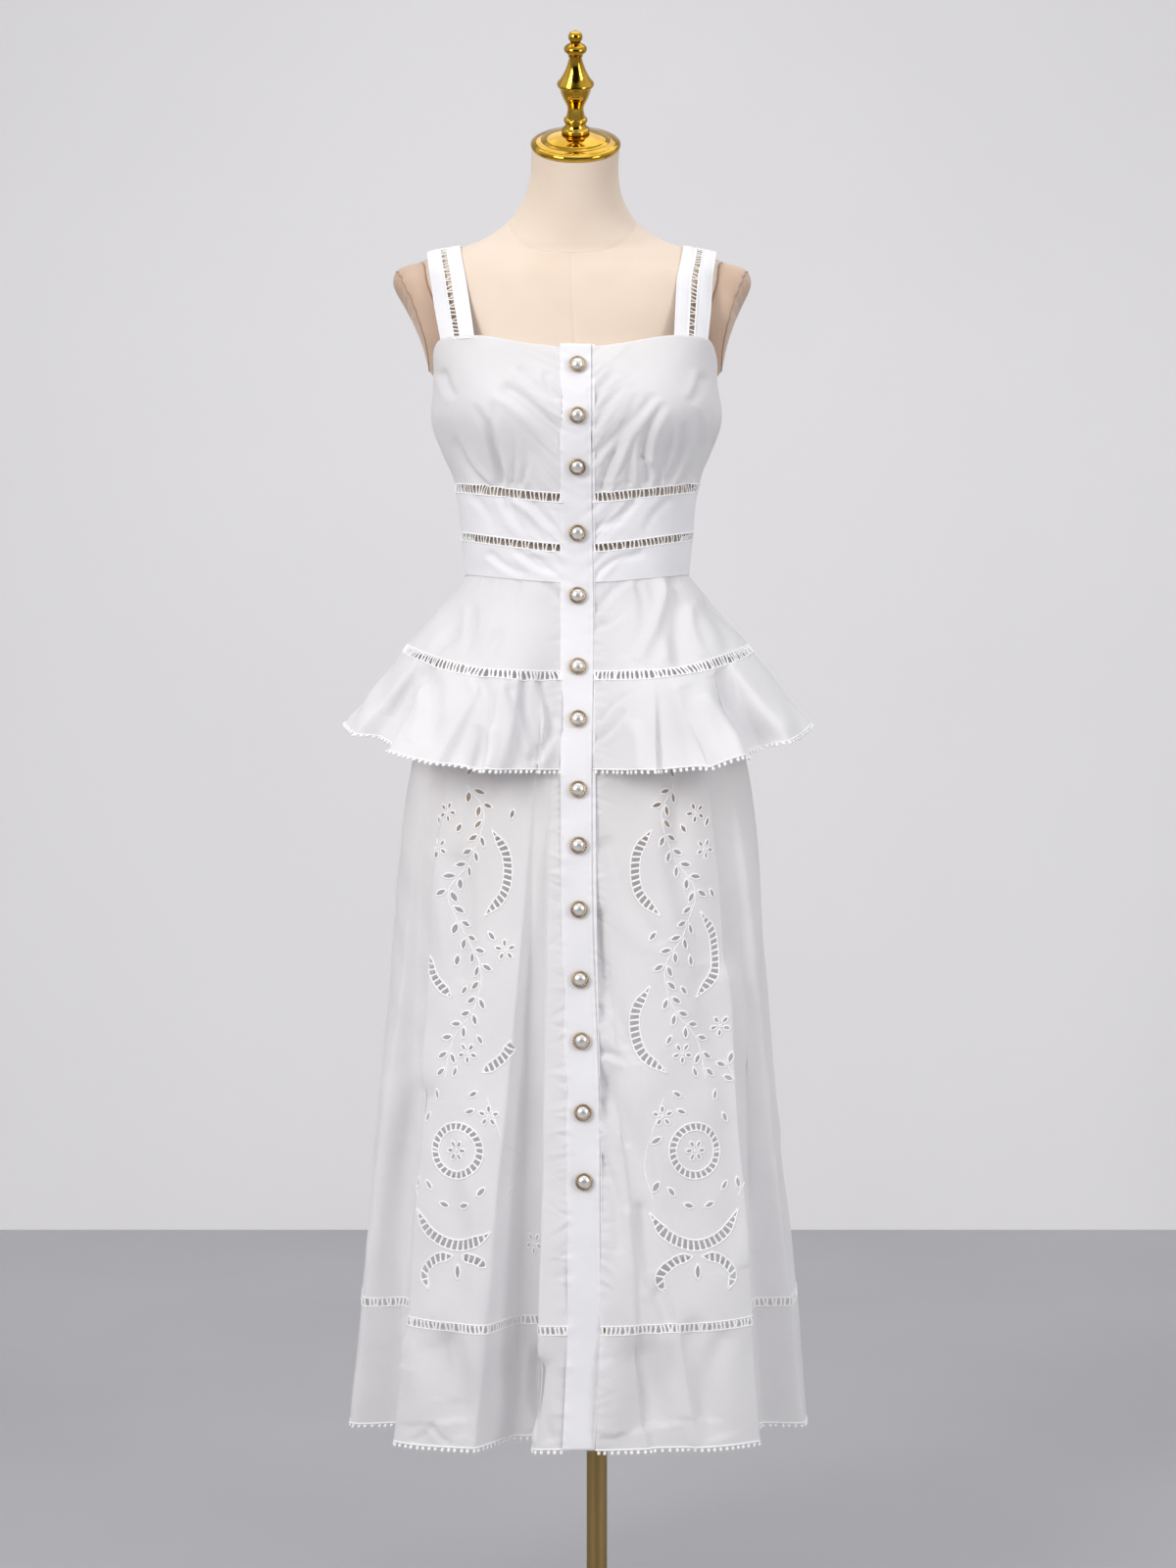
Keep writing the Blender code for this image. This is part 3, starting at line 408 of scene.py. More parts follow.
# %% Write down the sections
Row = namedtuple("Row", "name z_front z_side z_back half inset back power")
BODICE_ROWS = table(Row, """
top              1.4   1.4   1.4  .158 0 .104 3.8
armhole         1.35 1.352 1.352 .1515 0 .105   3
bust             1.3 1.304 1.304 .1545 0 .106 2.4
under_bust     1.262 1.274 1.274  .144 0 .101 2.2
ladder_1_top   1.223 1.239 1.236   .13 0 .094 2.2
ladder_1_foot  1.215 1.231 1.228  .129 0 .093 2.2
ladder_2_top  1.1705 1.187 1.182  .124 0  .09 2.2
ladder_2_foot 1.1635  1.18 1.175 .1235 0  .09 2.2
waist          1.131 1.142 1.138   .12 0  .09 2.2
""")
PEPLUM_ROWS = table(Row, """
waist          1.131 1.142 1.138  .12     0  .09 2.2
yoke           1.086 1.105 1.096  .15 -.016 .113 2.2
ladder_3_top  1.0385 1.069 1.052 .182 -.036 .146 2.3
ladder_3_foot  1.031 1.062 1.045 .187 -.039  .15 2.3
flare           .985 1.022     1 .217  -.05 .172 2.4
edge           .9385  .985  .952 .247  -.06 .195 2.5
picots         .9335   .98  .947  .25 -.061 .197 2.5
""")
SKIRT_ROWS = table(Row, """
waist         1.131 1.142 1.138  .117 .003 .087 2.2
hip            1.03  1.04 1.037   .15 .004  .12 2.2
under_peplum    .93  .935  .933  .179 .003 .148 2.4
thigh            .7  .702  .702 .2005    0  .17 2.7
knee           .447   .45   .45 .2235    0  .19 2.9
ladder_4_top  .3765 .3865   .38 .2297    0 .195   3
ladder_4_foot .3695 .3795  .373 .2303    0 .195   3
edge           .255  .254  .254 .2412    0 .202   3
picots        .2495  .248  .248 .2416    0 .202   3
""")
Edge = namedtuple("Edge", "angle z")
NECKLINE = table(Edge, """
0 1.3745, 25 1.38, 50 1.389, 62 1.3855, 70 1.372, 80 1.356, 92 1.351, 110 1.35, 145 1.352
180 1.352
""")
print("sections:", [len(rows) for rows in (BODICE_ROWS, PEPLUM_ROWS, SKIRT_ROWS)])

# %% Write down the deep folds
Fold = namedtuple("Fold", "top hem half depth start")
SKIRT_FOLDS = table(Fold, """
 -13 -20.5   8  -.062 .16
   7    26 6.5 -.0045 .28
  57    60  11  -.044 .12
 -57   -60  11  -.046 .12
 104   108   9   -.03 .14
 134   138  10  -.038 .14
 170   167   9  -.028 .18
-103  -106   9  -.034 .16
-136  -133  11   -.04 .12
-163  -166   8  -.026  .2
""")
PEPLUM_FOLDS = table(Fold, """
 -58  -62   8  -.024 .34
 -28  -34   6  -.012  .4
 -16  -19   5  -.015 .38
  32   30 6.5 -.0135 .42
  56   55 7.5  -.024 .36
  98  100   8  -.021 .34
 128  131   8 -.0255 .36
 158  157   7  -.018 .42
 -96  -99   8 -.0195 .36
-124 -127   8 -.0255 .34
-160 -158   8 -.0195  .4
""")
BUST = dict(angle=35.0, spread=19.0, z=1.302, reach=0.040, swell=0.009)
FRONT_FLAT = 7.5             # degrees each side of the front that lie against the band
FRONT_HOLD = 12.5            # degrees over which the cloth then swings free
print("deep folds:", len(SKIRT_FOLDS), "in the skirt,", len(PEPLUM_FOLDS), "in the peplum")

# %% [markdown]
# ## A smooth surface from a few rows
# Between two rows of a table the surface follows a smooth curve, and round the body each
# section is a rounded oblong. Folds push the section in over a few degrees. All of this is
# done on whole grids of numbers at once, which is quick even for a hundred thousand points.

# %% Read curves and sections
def curve_through(places, values, place):
    """A smooth curve through the values, read at many places; the places rise."""
    places, values = np.asarray(places, float), np.asarray(values, float)
    place = np.clip(place, places[0], places[-1])
    widths = np.diff(places)
    runs = np.diff(values) / widths
    inner = (runs[:-1] * widths[1:] + runs[1:] * widths[:-1]) / (widths[1:] + widths[:-1])
    slopes = np.concatenate((runs[:1], inner, runs[-1:]))
    i = np.clip(np.searchsorted(places, place, side="right") - 1, 0, len(places) - 2)
    width = widths[i]
    t = (place - places[i]) / width
    return (
        values[i] * (2 * t**3 - 3 * t**2 + 1)
        + values[i + 1] * (3 * t**2 - 2 * t**3)
        + slopes[i] * width * (t**3 - 2 * t**2 + t)
        + slopes[i + 1] * width * (t**3 - t**2)
    )


def on_line(line, z):
    """The second column of a two-column table, at a height."""
    return curve_through(*zip(*line), z)


def column_through(rows, title, places, place):
    """A smooth curve through one column of a table whose rows stand at those places."""
    return curve_through(places, [getattr(row, title) for row in rows], place)


def wrap(degrees):
    """The same angle, from -180 up to 180."""
    return (degrees + 180) % 360 - 180


def ease(share):
    """0 to 1 with a soft start and end."""
    share = np.clip(share, 0.0, 1.0)
    return share * share * (3 - 2 * share)


def section_reach(angle, half, depth, power):
    """Distance from the middle to a rounded oblong's edge, in that direction."""
    across = np.abs(np.sin(angle)) / half
    along = np.abs(np.cos(angle)) / depth
    return (across**power + along**power) ** (-1 / power)


FOLD_FLANK = 0.40            # the part of a fold's half width that its steep side takes
FOLD_GROWTH = 1.05           # above 1, a fold stays shallow for longer
FOLD_NARROW = 0.50           # a fold's width where it starts, as a share of its full width


def fold_lift(folds, degrees, share):
    """What the folds add to the radius at that angle and share of the drop."""
    lift = np.zeros(np.broadcast(degrees, share).shape)
    for fold in folds:
        middle = fold.top + (fold.hem - fold.top) * share
        grown = ease((share - fold.start) / (1 - fold.start)) ** FOLD_GROWTH
        half = fold.half * (FOLD_NARROW + (1 - FOLD_NARROW) * grown)
        away = np.abs(degrees - middle) / half
        lift += fold.depth * grown * ease((1 - away) / FOLD_FLANK)
    return lift


print("a section's corner reach:", round(float(section_reach(0.78, 0.12, 0.1, 2.2)), 4))

# %% Define a layer
class Layer:
    """A surface round the body, read by angle and by the drop below its first row."""

    def __init__(self, rows, folds=(), sweep=2.0, swell=None):
        self.rows, self.folds, self.sweep, self.swell = rows, folds, sweep, swell
        self.drops = [rows[0].z_side - row.z_side for row in rows]
        self.depth = self.drops[-1]

    def drop(self, name):
        """Drop of the row of that name."""
        return next(d for d, row in zip(self.drops, self.rows) if row.name == name)

    def column(self, title, drop):
        return column_through(self.rows, title, self.drops, drop)

    def height(self, degrees, drop):
        degrees = wrap(degrees)
        front, back = self.column("z_front", drop), self.column("z_back", drop)
        end = np.where(np.abs(degrees) < 90, front, back)
        share = np.abs(np.sin(np.radians(degrees))) ** self.sweep
        return end + (self.column("z_side", drop) - end) * share

    def points(self, degrees, drop):
        """Points of the surface, on grids of angles and drops."""
        degrees, drop = np.broadcast_arrays(wrap(degrees), drop)
        z, angle = self.height(degrees, drop), np.radians(degrees)
        half, power = self.column("half", drop), self.column("power", drop)
        held, inset = on_line(FRONT_LINE, z), self.column("inset", drop)
        free = section_reach(angle, half, held - inset, power)
        tight = section_reach(angle, half, held, power)
        beside = np.clip(np.abs(degrees) - FRONT_FLAT, 0, None)
        near = np.where(inset < 0, np.exp(-((beside / FRONT_HOLD) ** 2)), 0.0)
        front = free + (tight - free) * near
        back = section_reach(angle, half, self.column("back", drop), power)
        radius = np.where(np.abs(degrees) < 90, front, back)
        radius = radius + fold_lift(self.folds, degrees, drop / self.depth)
        if self.swell:
            radius = radius + self.swell(degrees, z)
        x = on_line(MIDDLE_LINE, z) + radius * np.sin(angle)
        return np.stack([x, -radius * np.cos(angle), z], axis=-1)

    def drop_at(self, degrees, z):
        """The drops where the surface passes a height."""
        degrees, z = np.broadcast_arrays(degrees, z)
        low, high = np.zeros(z.shape), np.full(z.shape, self.depth)
        for _ in range(30):
            middle = (low + high) / 2
            above = self.height(degrees, middle) > z
            low, high = np.where(above, middle, low), np.where(above, high, middle)
        return (low + high) / 2


def bust_swell(degrees, z):
    away = (np.abs(degrees) - BUST["angle"]) / BUST["spread"]
    rise = (z - BUST["z"]) / BUST["reach"]
    return BUST["swell"] * np.exp(-away * away - rise * rise)


BODICE = Layer(BODICE_ROWS, swell=bust_swell)
PEPLUM = Layer(PEPLUM_ROWS, PEPLUM_FOLDS, sweep=4.0)
SKIRT = Layer(SKIRT_ROWS, SKIRT_FOLDS, sweep=4.0)
print("drops, metres:", [round(layer.depth, 3) for layer in (BODICE, PEPLUM, SKIRT)])

# %% [markdown]
# ## Making meshes from grids
# A cloth panel is a grid of points, row below row. Small things that repeat hundreds of
# times, such as rungs or picots, are gathered in one heap and become one mesh, because a
# thousand objects would be slow and hard to handle. Every piece rides on the one body.

# %% Define the mesh tools
def unit(vectors):
    return vectors / np.maximum(np.linalg.norm(vectors, axis=-1, keepdims=True), 1e-12)


def circle(count):
    """Even angles round a full turn."""
    return math.tau * np.arange(count) / count


def outward(points):
    """Outward directions of a grid whose rows go down and whose angles rise."""
    return unit(np.cross(np.gradient(points, axis=0), np.gradient(points, axis=1)))


def placed(points, place):
    """Points moved to where a placement puts them."""
    return points @ np.array(place.to_3x3()).T + np.array(place.translation)


def grid_faces(rows, cols, around=False, loop=False):
    """Quads of a grid of points; around joins its last column to its first, loop its rows."""
    row, col = np.meshgrid(
        np.arange(rows if loop else rows - 1) * cols, np.arange(cols if around else cols - 1),
        indexing="ij",
    )
    after, below = (col + 1) % cols, (row + cols) % (rows * cols)
    return np.stack([row + col, below + col, below + after, row + after], -1).reshape(-1, 4)


def make_piece(name, points, faces, finish, slot, *stands_for):
    """A smooth mesh that rides with the frame and stands for those nodes of it."""
    mesh = bpy.data.meshes.new(name)
    points = np.asarray(points, float).reshape(-1, 3)
    mesh.from_pydata(points.tolist(), [], faces.tolist())
    mesh.shade_smooth()
    mesh.materials.append(finish)
    item = bpy.data.objects.new(name, mesh)
    scene.collection.objects.link(item)
    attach(item, "root")
    if stands_for:
        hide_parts(*stands_for)
    return item


def thicken(item, wall):
    """Give a sheet its wall, inwards from its outer face."""
    solid = item.modifiers.new("wall", "SOLIDIFY")
    solid.thickness = wall
    solid.offset = -1.0


class Heap:
    """Many small shapes gathered into one mesh."""

    def __init__(self):
        self.points, self.faces, self.count = [], [], 0

    def add(self, points, faces):
        """Shapes of equal make: points is (shapes, corners, 3), faces is of one shape."""
        shapes, corners = points.shape[:2]
        starts = self.count + corners * np.arange(shapes)
        self.points.append(points.reshape(-1, 3))
        self.faces.append((faces[None] + starts[:, None, None]).reshape(-1, 4))
        self.count += shapes * corners

    def piece(self, name, finish, slot, *stands_for):
        points, faces = np.concatenate(self.points), np.concatenate(self.faces)
        return make_piece(name, points, faces, finish, slot, *stands_for)


def tubes(heap, paths, lift, wide, high, sides=6, loop=False, taper=False):
    """Round or flat cords along many paths, (paths, steps, 3); lift is their high side."""
    if loop:
        along = np.roll(paths, -1, axis=1) - np.roll(paths, 1, axis=1)
    else:
        along = np.gradient(paths, axis=1)
    across = unit(np.cross(unit(along), lift))
    up = unit(np.cross(across, along))
    wide, high = (np.broadcast_to(v, paths.shape[:2])[..., None, None] for v in (wide, high))
    turn = circle(sides)[:, None]
    ring = np.cos(turn) * across[:, :, None] * wide + np.sin(turn) * up[:, :, None] * high
    if taper:
        ring[:, [0, -1]] *= 0.15
    points = paths[:, :, None] + ring
    faces = grid_faces(paths.shape[1], sides, around=True, loop=loop)
    heap.add(points.reshape(len(paths), -1, 3), faces)


def run_of(line):
    """How far along a line, or along each row of a grid, its points lie."""
    steps = np.linalg.norm(np.diff(line, axis=-2), axis=-1)
    return np.concatenate([0 * steps[..., :1], np.cumsum(steps, axis=-1)], axis=-1)


def length_of(line):
    return float(run_of(line)[-1])


def read(values, at, places):
    """Rows of values that stand at places, read off anywhere between."""
    return np.stack([np.interp(at, places, column) for column in values.T], axis=-1)


def walk(line, shares):
    """Points at those shares of a line's length."""
    walked = run_of(line)
    return read(line, shares * walked[-1], walked)


def nearest_share(line, spots):
    """The share of a line's length at which it passes nearest to each spot."""
    shares = np.linspace(0, 1, 6000)
    fine = walk(line, shares)
    return np.array([shares[np.linalg.norm(fine - spot, axis=1).argmin()] for spot in spots])


print("mesh tools ready")

# %% [markdown]
# ## The stand
# The base, the pole, the neck cap and the finial were all turned on a lathe, so each is a
# profile swept round an axis. The profiles here have the small beads and hollows that the
# plain model leaves out. Edges that were cut sharp are kept sharp by an angle limit.

# %% Define the lathe
Turn = namedtuple("Turn", "radius height")
LATHE_SIDES = 72
END_RADIUS = 0.0004          # a turned piece ends in a disc this small
NECK_TILT = 30.0


def spun(radius, height, turn, place):
    """Points so far from a placement's axis, so high along it, and so far round it."""
    around = [radius * np.cos(turn), radius * np.sin(turn), height + 0 * turn]
    return placed(np.stack(around, axis=-1), place)


def turned(name, profile, place, finish, slot):
    """A solid of revolution on a placement; both its ends are closed."""
    ends = [(END_RADIUS, profile[k].height) for k in (0, -1)]
    radii, heights = np.array([ends[0], *profile, ends[1]]).T[..., None]
    points = spun(radii, heights, -circle(LATHE_SIDES)[::-1], place)
    faces = grid_faces(len(radii), LATHE_SIDES, around=True)[:, ::-1]
    item = make_piece(name, points, faces, finish, *slot)
    item.data.set_sharp_from_angle(angle=math.radians(38))


def facing(foot, direction):
    """A placement that stands +Z along a direction, with its foot at a point."""
    turn = direction.to_track_quat("Z", "Y").to_matrix().to_4x4()
    return Matrix.Translation(foot) @ turn


def bead(radius, height, half, bulge, steps=5):
    """Profile points of a half-round bead that stands out of a turned surface."""
    sweep = [math.pi * k / steps for k in range(steps + 1)]
    return [Turn(radius + bulge * math.sin(a), height - half * math.cos(a)) for a in sweep]


print("lathe sides:", LATHE_SIDES)

# %% Turn the base and the pole
base_low, base_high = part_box("base")
pole_low, pole_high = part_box("pole")
BASE_RADIUS = (base_high[0] - base_low[0]) / 2
BASE_RIM = table(Turn, """
-.003 0, -.0008 .001, 0 .003, 0 .0096, -.0009 .0112, -.0035 .0128, -.008 .0148
""")
BASE_PROFILE = [Turn(BASE_RADIUS + t.radius, t.height) for t in BASE_RIM]
BASE_PROFILE += table(Turn, ".1 .0169, .052 .0188, .038 .0202, .0262 .023, .024 .024")
POLE_RADIUS = 0.0110
pole_length = pole_high[2] - pole_low[2]
POLE_TOP = table(Turn, """
.011 -.018, .018 -.016, .019 -.0148, .019 -.0064, .033 -.0046, .034 -.0036, .034 0
""")
POLE_PROFILE = [Turn(POLE_RADIUS, 0.0)] + bead(POLE_RADIUS, 0.010, 0.004, 0.0022)
POLE_PROFILE += [Turn(t.radius, pole_length + t.height) for t in POLE_TOP]
on_base = Matrix.Translation((0, 0, pole_low[2]))
turned("turned_base", BASE_PROFILE, Matrix.Identity(4), BRASS, ("brass", "base"))
turned("turned_pole", POLE_PROFILE, on_base, BRASS, ("brass", "pole"))
print("base radius:", round(BASE_RADIUS, 3), "pole length:", round(pole_length, 3))

# %% Turn the neck cap and the finial
NECK_TOP = Vector((-0.0226, -0.0285, 1.5963))
CAP_PROFILE = table(Turn, """
.0452 0, .047 .0006, .0478 .002, .048 .0036, .0475 .0052, .0462 .0064, .0446 .0068, .044 .0074
.0428 .0082, .0372 .0086, .0364 .0094, .0352 .0098, .0342 .0112, .0322 .0122, .027 .0138
.0215 .0152, .015 .0165
""")
FINIAL_PROFILE = [Turn(0.0150, 0.0)] + bead(0.0136, 0.0026, 0.0024, 0.0018)
FINIAL_PROFILE += [Turn(0.0118, 0.0066), Turn(0.0106, 0.0090)]
FINIAL_PROFILE += bead(0.0102, 0.0135, 0.0030, 0.0026)
FINIAL_PROFILE += table(Turn, """
.01 .0175, .0093 .0205, .0087 .024, .0086 .027, .0094 .03, .0112 .0335, .0134 .0378
.0152 .0425, .0164 .047, .0171 .05, .0186 .0506, .0195 .052, .0196 .0538, .0188 .0552
.016 .0585, .0134 .063, .0108 .0682, .0088 .0735, .0073 .0785, .0064 .0822
""")
FINIAL_PROFILE += bead(0.0064, 0.0838, 0.0012, 0.0014)
FINIAL_PROFILE += table(Turn, """
.0066 .0856, .0094 .0868, .0114 .0884, .0122 .0906, .0117 .093, .0098 .095, .007 .0964
.0052 .0978, .0056 .0992, .0071 .1012, .0077 .1036, .0072 .1062, .0056 .1086, .003 .1101
""")
neck_axis = Vector((0, -math.sin(math.radians(NECK_TILT)), math.cos(math.radians(NECK_TILT))))
finial_foot = NECK_TOP + neck_axis * (CAP_PROFILE[-1].height + 0.0003)
for name, profile, foot, node in (
    ("gilt_cap", CAP_PROFILE, NECK_TOP, "neck_cap"),
    ("gilt_finial", FINIAL_PROFILE, finial_foot, "finial"),
):
    turned(name, profile, facing(foot, neck_axis), GOLD, ("polished_gold", node))
print("finial stands", round(FINIAL_PROFILE[-1].height, 3), "m above its cap")

# %% [markdown]
# ## The padded form
# The form is a padded torso without limbs, with jersey pulled over it. Its sections are
# rounded oblongs too, on planes that tilt forward towards the neck. Two seams show: one down
# the middle and one round the base of the neck. Both are fine grooves, so the columns are
# set close together near the middle and the rows close together near the neck.

# %% Write down the form's sections
Torso = namedtuple("Torso", "name z y half front back power tilt")
TORSO_ROWS = table(Torso, """
foot          .862      0   .14  .092    .1  2.2  0
foot_edge      .87      0  .146  .097  .106  2.2  0
hip            .93      0  .156  .103  .118  2.2  0
high_hip      1.03      0  .137  .098  .104  2.2  0
waist         1.14      0  .109  .088  .078  2.2  0
ribs         1.225      0  .119  .096  .085  2.2  0
bust           1.3      0  .143  .114  .096  2.3  0
chest        1.375      0  .137  .101  .093  2.6  0
armhole       1.43   .002  .156  .088   .09  2.4  0
shoulder      1.46   .004  .168  .077   .08    2  0
shoulder_tip 1.474   .005  .166   .07  .073  1.7  2
slope        1.486   .005  .148  .066  .067  1.6  6
neck_side    1.499   .003  .105  .063  .062  1.7 14
neck_base    1.514  -.001 .0765   .06   .06 1.95 21
neck         1.536  -.008 .0572  .055  .055    2 25
mid_neck     1.563  -.018 .0478   .05   .05    2 28
neck_top     1.596 -.0285 .0466 .0475 .0475    2 30
""")
FORM_SIDES = 140
SEAM_CROWDING = 0.82         # how much closer the columns lie beside the middle seam
NECK_SEAM_Z = 1.488          # at the front; it rises round the neck
NECK_SEAM_RISE = 7.0         # metres of rise for each square metre across
SEAM_DEPTH = 0.0008
NECK_SEAM_DEPTH = 0.0008
SEAM_HALF = 0.0017
print("form rows:", len(TORSO_ROWS))

# %% Shape the form
def torso_column(title, z):
    return column_through(TORSO_ROWS, title, [row.z for row in TORSO_ROWS], z)


def form_points(heights, turn):
    """Points of the form's skin at those heights and angles, as a grid."""
    z, angle = np.meshgrid(heights, turn, indexing="ij")
    half, power = torso_column("half", z), torso_column("power", z)
    front = section_reach(angle, half, torso_column("front", z), power)
    back = section_reach(angle, half, torso_column("back", z), power)
    radius = np.where(np.cos(angle) > 0, front, back)
    along = -radius * np.cos(angle)
    tilt = np.radians(torso_column("tilt", z))
    x = on_line(MIDDLE_LINE, z) + radius * np.sin(angle)
    return np.stack([x, torso_column("y", z) + along * np.cos(tilt), z + along * np.sin(tilt)], -1)


def dress_form():
    """The whole skin, with its two seams pressed in; returns the heights and points."""
    coarse = np.arange(0.862, 1.36, 0.016)
    fine = np.arange(1.36, 1.596, 0.005)
    close = np.arange(NECK_SEAM_Z - 0.004, NECK_SEAM_Z + 0.040, 0.0010)
    heights = np.concatenate([coarse, [0.866, 0.870], fine, close, [1.596]])
    heights = np.unique(np.round(heights, 5))
    turn = circle(FORM_SIDES)
    turn = turn - SEAM_CROWDING * np.sin(2 * turn) / 2
    points = form_points(heights[::-1], turn)
    side = np.abs(points[..., 0] - on_line(MIDDLE_LINE, heights[::-1])[:, None])
    above = heights[::-1, None] - NECK_SEAM_Z - NECK_SEAM_RISE * side**2
    middle = SEAM_DEPTH * np.exp(-((side / SEAM_HALF) ** 2)) * (above < 0)
    round_neck = NECK_SEAM_DEPTH * np.exp(-((above / SEAM_HALF) ** 2)) * (np.cos(turn) > 0)
    return points - outward(points) * np.maximum(middle, round_neck)[..., None]


form_skin = dress_form()
rows, cols = form_skin.shape[:2]
top_disc, foot_disc = (
    ring.mean(axis=0) + (ring - ring.mean(axis=0)) * 0.01 for ring in form_skin[[0, -1]]
)
whole_form = np.concatenate([top_disc, form_skin.reshape(-1, 3), foot_disc])
form_faces = grid_faces(rows + 2, cols, around=True)
make_piece("padded_form", whole_form, form_faces, JERSEY, "form_cover", "form_torso")
form_tree = BVHTree.FromPolygons([Vector(p) for p in whole_form], form_faces.tolist())
print("form rows and columns:", rows, cols)

# %% [markdown]
# ## Laying the cloth
# Each panel is laid out as even columns, equal in width along the cloth, between the button
# band and a side seam, or between the two side seams at the back. Equal columns keep small
# details, such as eyelets, from being squeezed where the cloth folds away from the viewer.

# %% Lay a panel
Panel = namedtuple("Panel", "points away widths side drops shares angles")
FINE_STEPS = 5               # samples for each column, when widths are evened out


def band_edge(layer, side, drop):
    """Angle of the panels' edge beside the button band; side is -1 or 1."""
    z = layer.height(0.0, drop)
    edge = on_line(BAND_LINE, z) + side * (BAND_WIDTH / 2 - BAND_TUCK)
    depth = -layer.points(np.zeros(np.shape(drop)), drop)[..., 1]
    return np.degrees(np.arctan2(edge - on_line(MIDDLE_LINE, z), depth))


def panel_ends(layer, side, drops):
    """Angles of a panel's two edges; side is -1, 1, or 0 for the back."""
    seam = np.full(drops.shape, 90.0)
    if side == 0:
        return seam, 3 * seam
    edge = band_edge(layer, side, drops)
    return (edge, seam) if side > 0 else (-seam, edge)


def neck_drop(layer, degrees):
    """The drop of the bodice's top edge at an angle."""
    return layer.drop_at(degrees, on_line(NECKLINE, np.abs(wrap(degrees))))


def even_steps(count):
    return count if isinstance(count, np.ndarray) else np.linspace(0, 1, count)


def lay_panel(layer, side, top, foot, rows, cols, neckline=False):
    """A panel as a grid of points, with each point's distance from the band's edge.

    rows and cols are counts of even steps, or arrays of shares from 0 to 1."""
    share, even = even_steps(rows)[:, None], even_steps(cols)
    even = even if side >= 0 else 1 - even[::-1]
    first, last = layer.drop(top), layer.drop(foot)
    if neckline:
        first = float(neck_drop(layer, np.array(10.0 if side else 180.0)))
    drops = (first + (last - first) * share)[:, 0]
    start, stop = panel_ends(layer, side, drops)
    fine = start[:, None] + (stop - start)[:, None] * np.linspace(0, 1, FINE_STEPS * len(even))

    def level(degrees):
        if not neckline:
            return np.broadcast_to(drops[:, None], degrees.shape)
        begun = neck_drop(layer, degrees)
        return begun + (last - begun) * share

    walked = run_of(layer.points(fine, level(fine)))
    widths = walked[:, -1]
    angles = np.stack([np.interp(even * w[-1], w, a) for w, a in zip(walked, fine)])
    away = widths[:, None] * (even if side >= 0 else 1 - even)
    return Panel(layer.points(angles, level(angles)), away, widths, side, drops, even, angles)


def flat_cut(panel):
    """Greatest width, length and flat area of the cut that this panel was made from."""
    lengths = run_of(panel.points.swapaxes(0, 1))[:, -1]
    width, length = float(panel.widths.max()), float(lengths.max())
    return width, length, float(panel.widths.mean() * lengths.mean())


trial = lay_panel(BODICE, 1, "top", "ladder_1_top", 12, 12, neckline=True)
print("a bust panel's cut, metres:", [round(v, 4) for v in flat_cut(trial)])

# %% [markdown]
# ## Creases
# The cloth's own weight and its seams leave creases. The main ones are put in one at a time:
# each runs between two places, is pressed in or raised by a little, and fades along its
# length. Along gathered seams and beside the button band there are many small puckers, and
# these come from a seeded draw, so that every run gives the same cloth.

# %% Define the creases
Crease = namedtuple("Crease", "x z x_end z_end half depth fade")
Pucker = namedtuple("Pucker", "place slope reach half depth")
CREASE_STRENGTH = 1.25       # every crease's depth is taken this many times
LIP = 0.45                   # how much a crease's edge stands up beside its trough
BOW = 0.07                   # how far a crease bends aside, as a share of its length


def crease_lift(creases, across, height):
    """What creases add to a surface, read across from its middle line and by height."""
    lift = np.zeros(across.shape)
    for k, c in enumerate(creases):
        run_x, run_z = c.x_end - c.x, c.z_end - c.z
        length = math.hypot(run_x, run_z)
        off_x, off_z = across - c.x, height - c.z
        t = np.clip((off_x * run_x + off_z * run_z) / length**2, 0, 1)
        bend = (-1) ** k * BOW * length * np.sin(math.pi * t)
        off_x, off_z = off_x - run_x * t, off_z - run_z * t
        aside = (off_x * run_z - off_z * run_x) / length - bend
        beyond = np.abs(off_x * run_x + off_z * run_z) / length
        shape = np.exp(-((aside / c.half) ** 2))
        shape -= LIP * np.exp(-(((np.abs(aside) - 1.7 * c.half) / c.half) ** 2)) * (aside > 0)
        grown = (1 - t) ** c.fade * np.exp(-((beyond / c.half) ** 2))
        lift += CREASE_STRENGTH * c.depth * shape * grown
    return lift


def draw_puckers(seed, start, stop, pitch, reach, depth, half=0.0022, lean=0.3, tilt=0.0):
    """Seeded puckers along a seam, from one place on it to another."""
    draw = np.random.default_rng(seed)
    found = []
    place = start
    while place < stop:
        found.append(Pucker(
            place,
            draw.normal(tilt, lean),
            reach * draw.uniform(0.4, 1.5),
            half * draw.uniform(0.7, 1.35),
            depth * draw.uniform(0.35, 1.0) * draw.choice((-1, -1, 1)),
        ))
        place += pitch * draw.uniform(0.6, 1.4)
    return found


def pucker_lift(puckers, along, away):
    """What puckers add, read along their seam and by the distance from it."""
    lift = np.zeros(along.shape)
    for p in puckers:
        aside = along - p.place - p.slope * away
        lift += p.depth * np.exp(-((aside / p.half) ** 2) - (away / p.reach) ** 2)
    return lift


def waves(seed, along, down, wide, long, height, count=14):
    """Soft uneven swells, about so wide and so long, from a few seeded sines."""
    draw = np.random.default_rng(seed)
    lift = np.zeros(along.shape)
    for _ in range(count):
        turns = draw.uniform(0.5, 1.5, 2) * draw.choice((-1, 1), 2)
        phase = draw.uniform(0, math.tau)
        lift += np.sin(math.tau * (turns[0] * along / wide + turns[1] * down / long) / 2 + phase)
    return lift * height / math.sqrt(count / 2)


def seen_flat(points):
    """How far points lie across from the middle line, and their heights."""
    return points[..., 0] - on_line(MIDDLE_LINE, points[..., 2]), points[..., 2]


print("three puckers:", [round(p.place, 4) for p in draw_puckers(1, 0, 0.03, 0.01, 0.02, 0.001)])

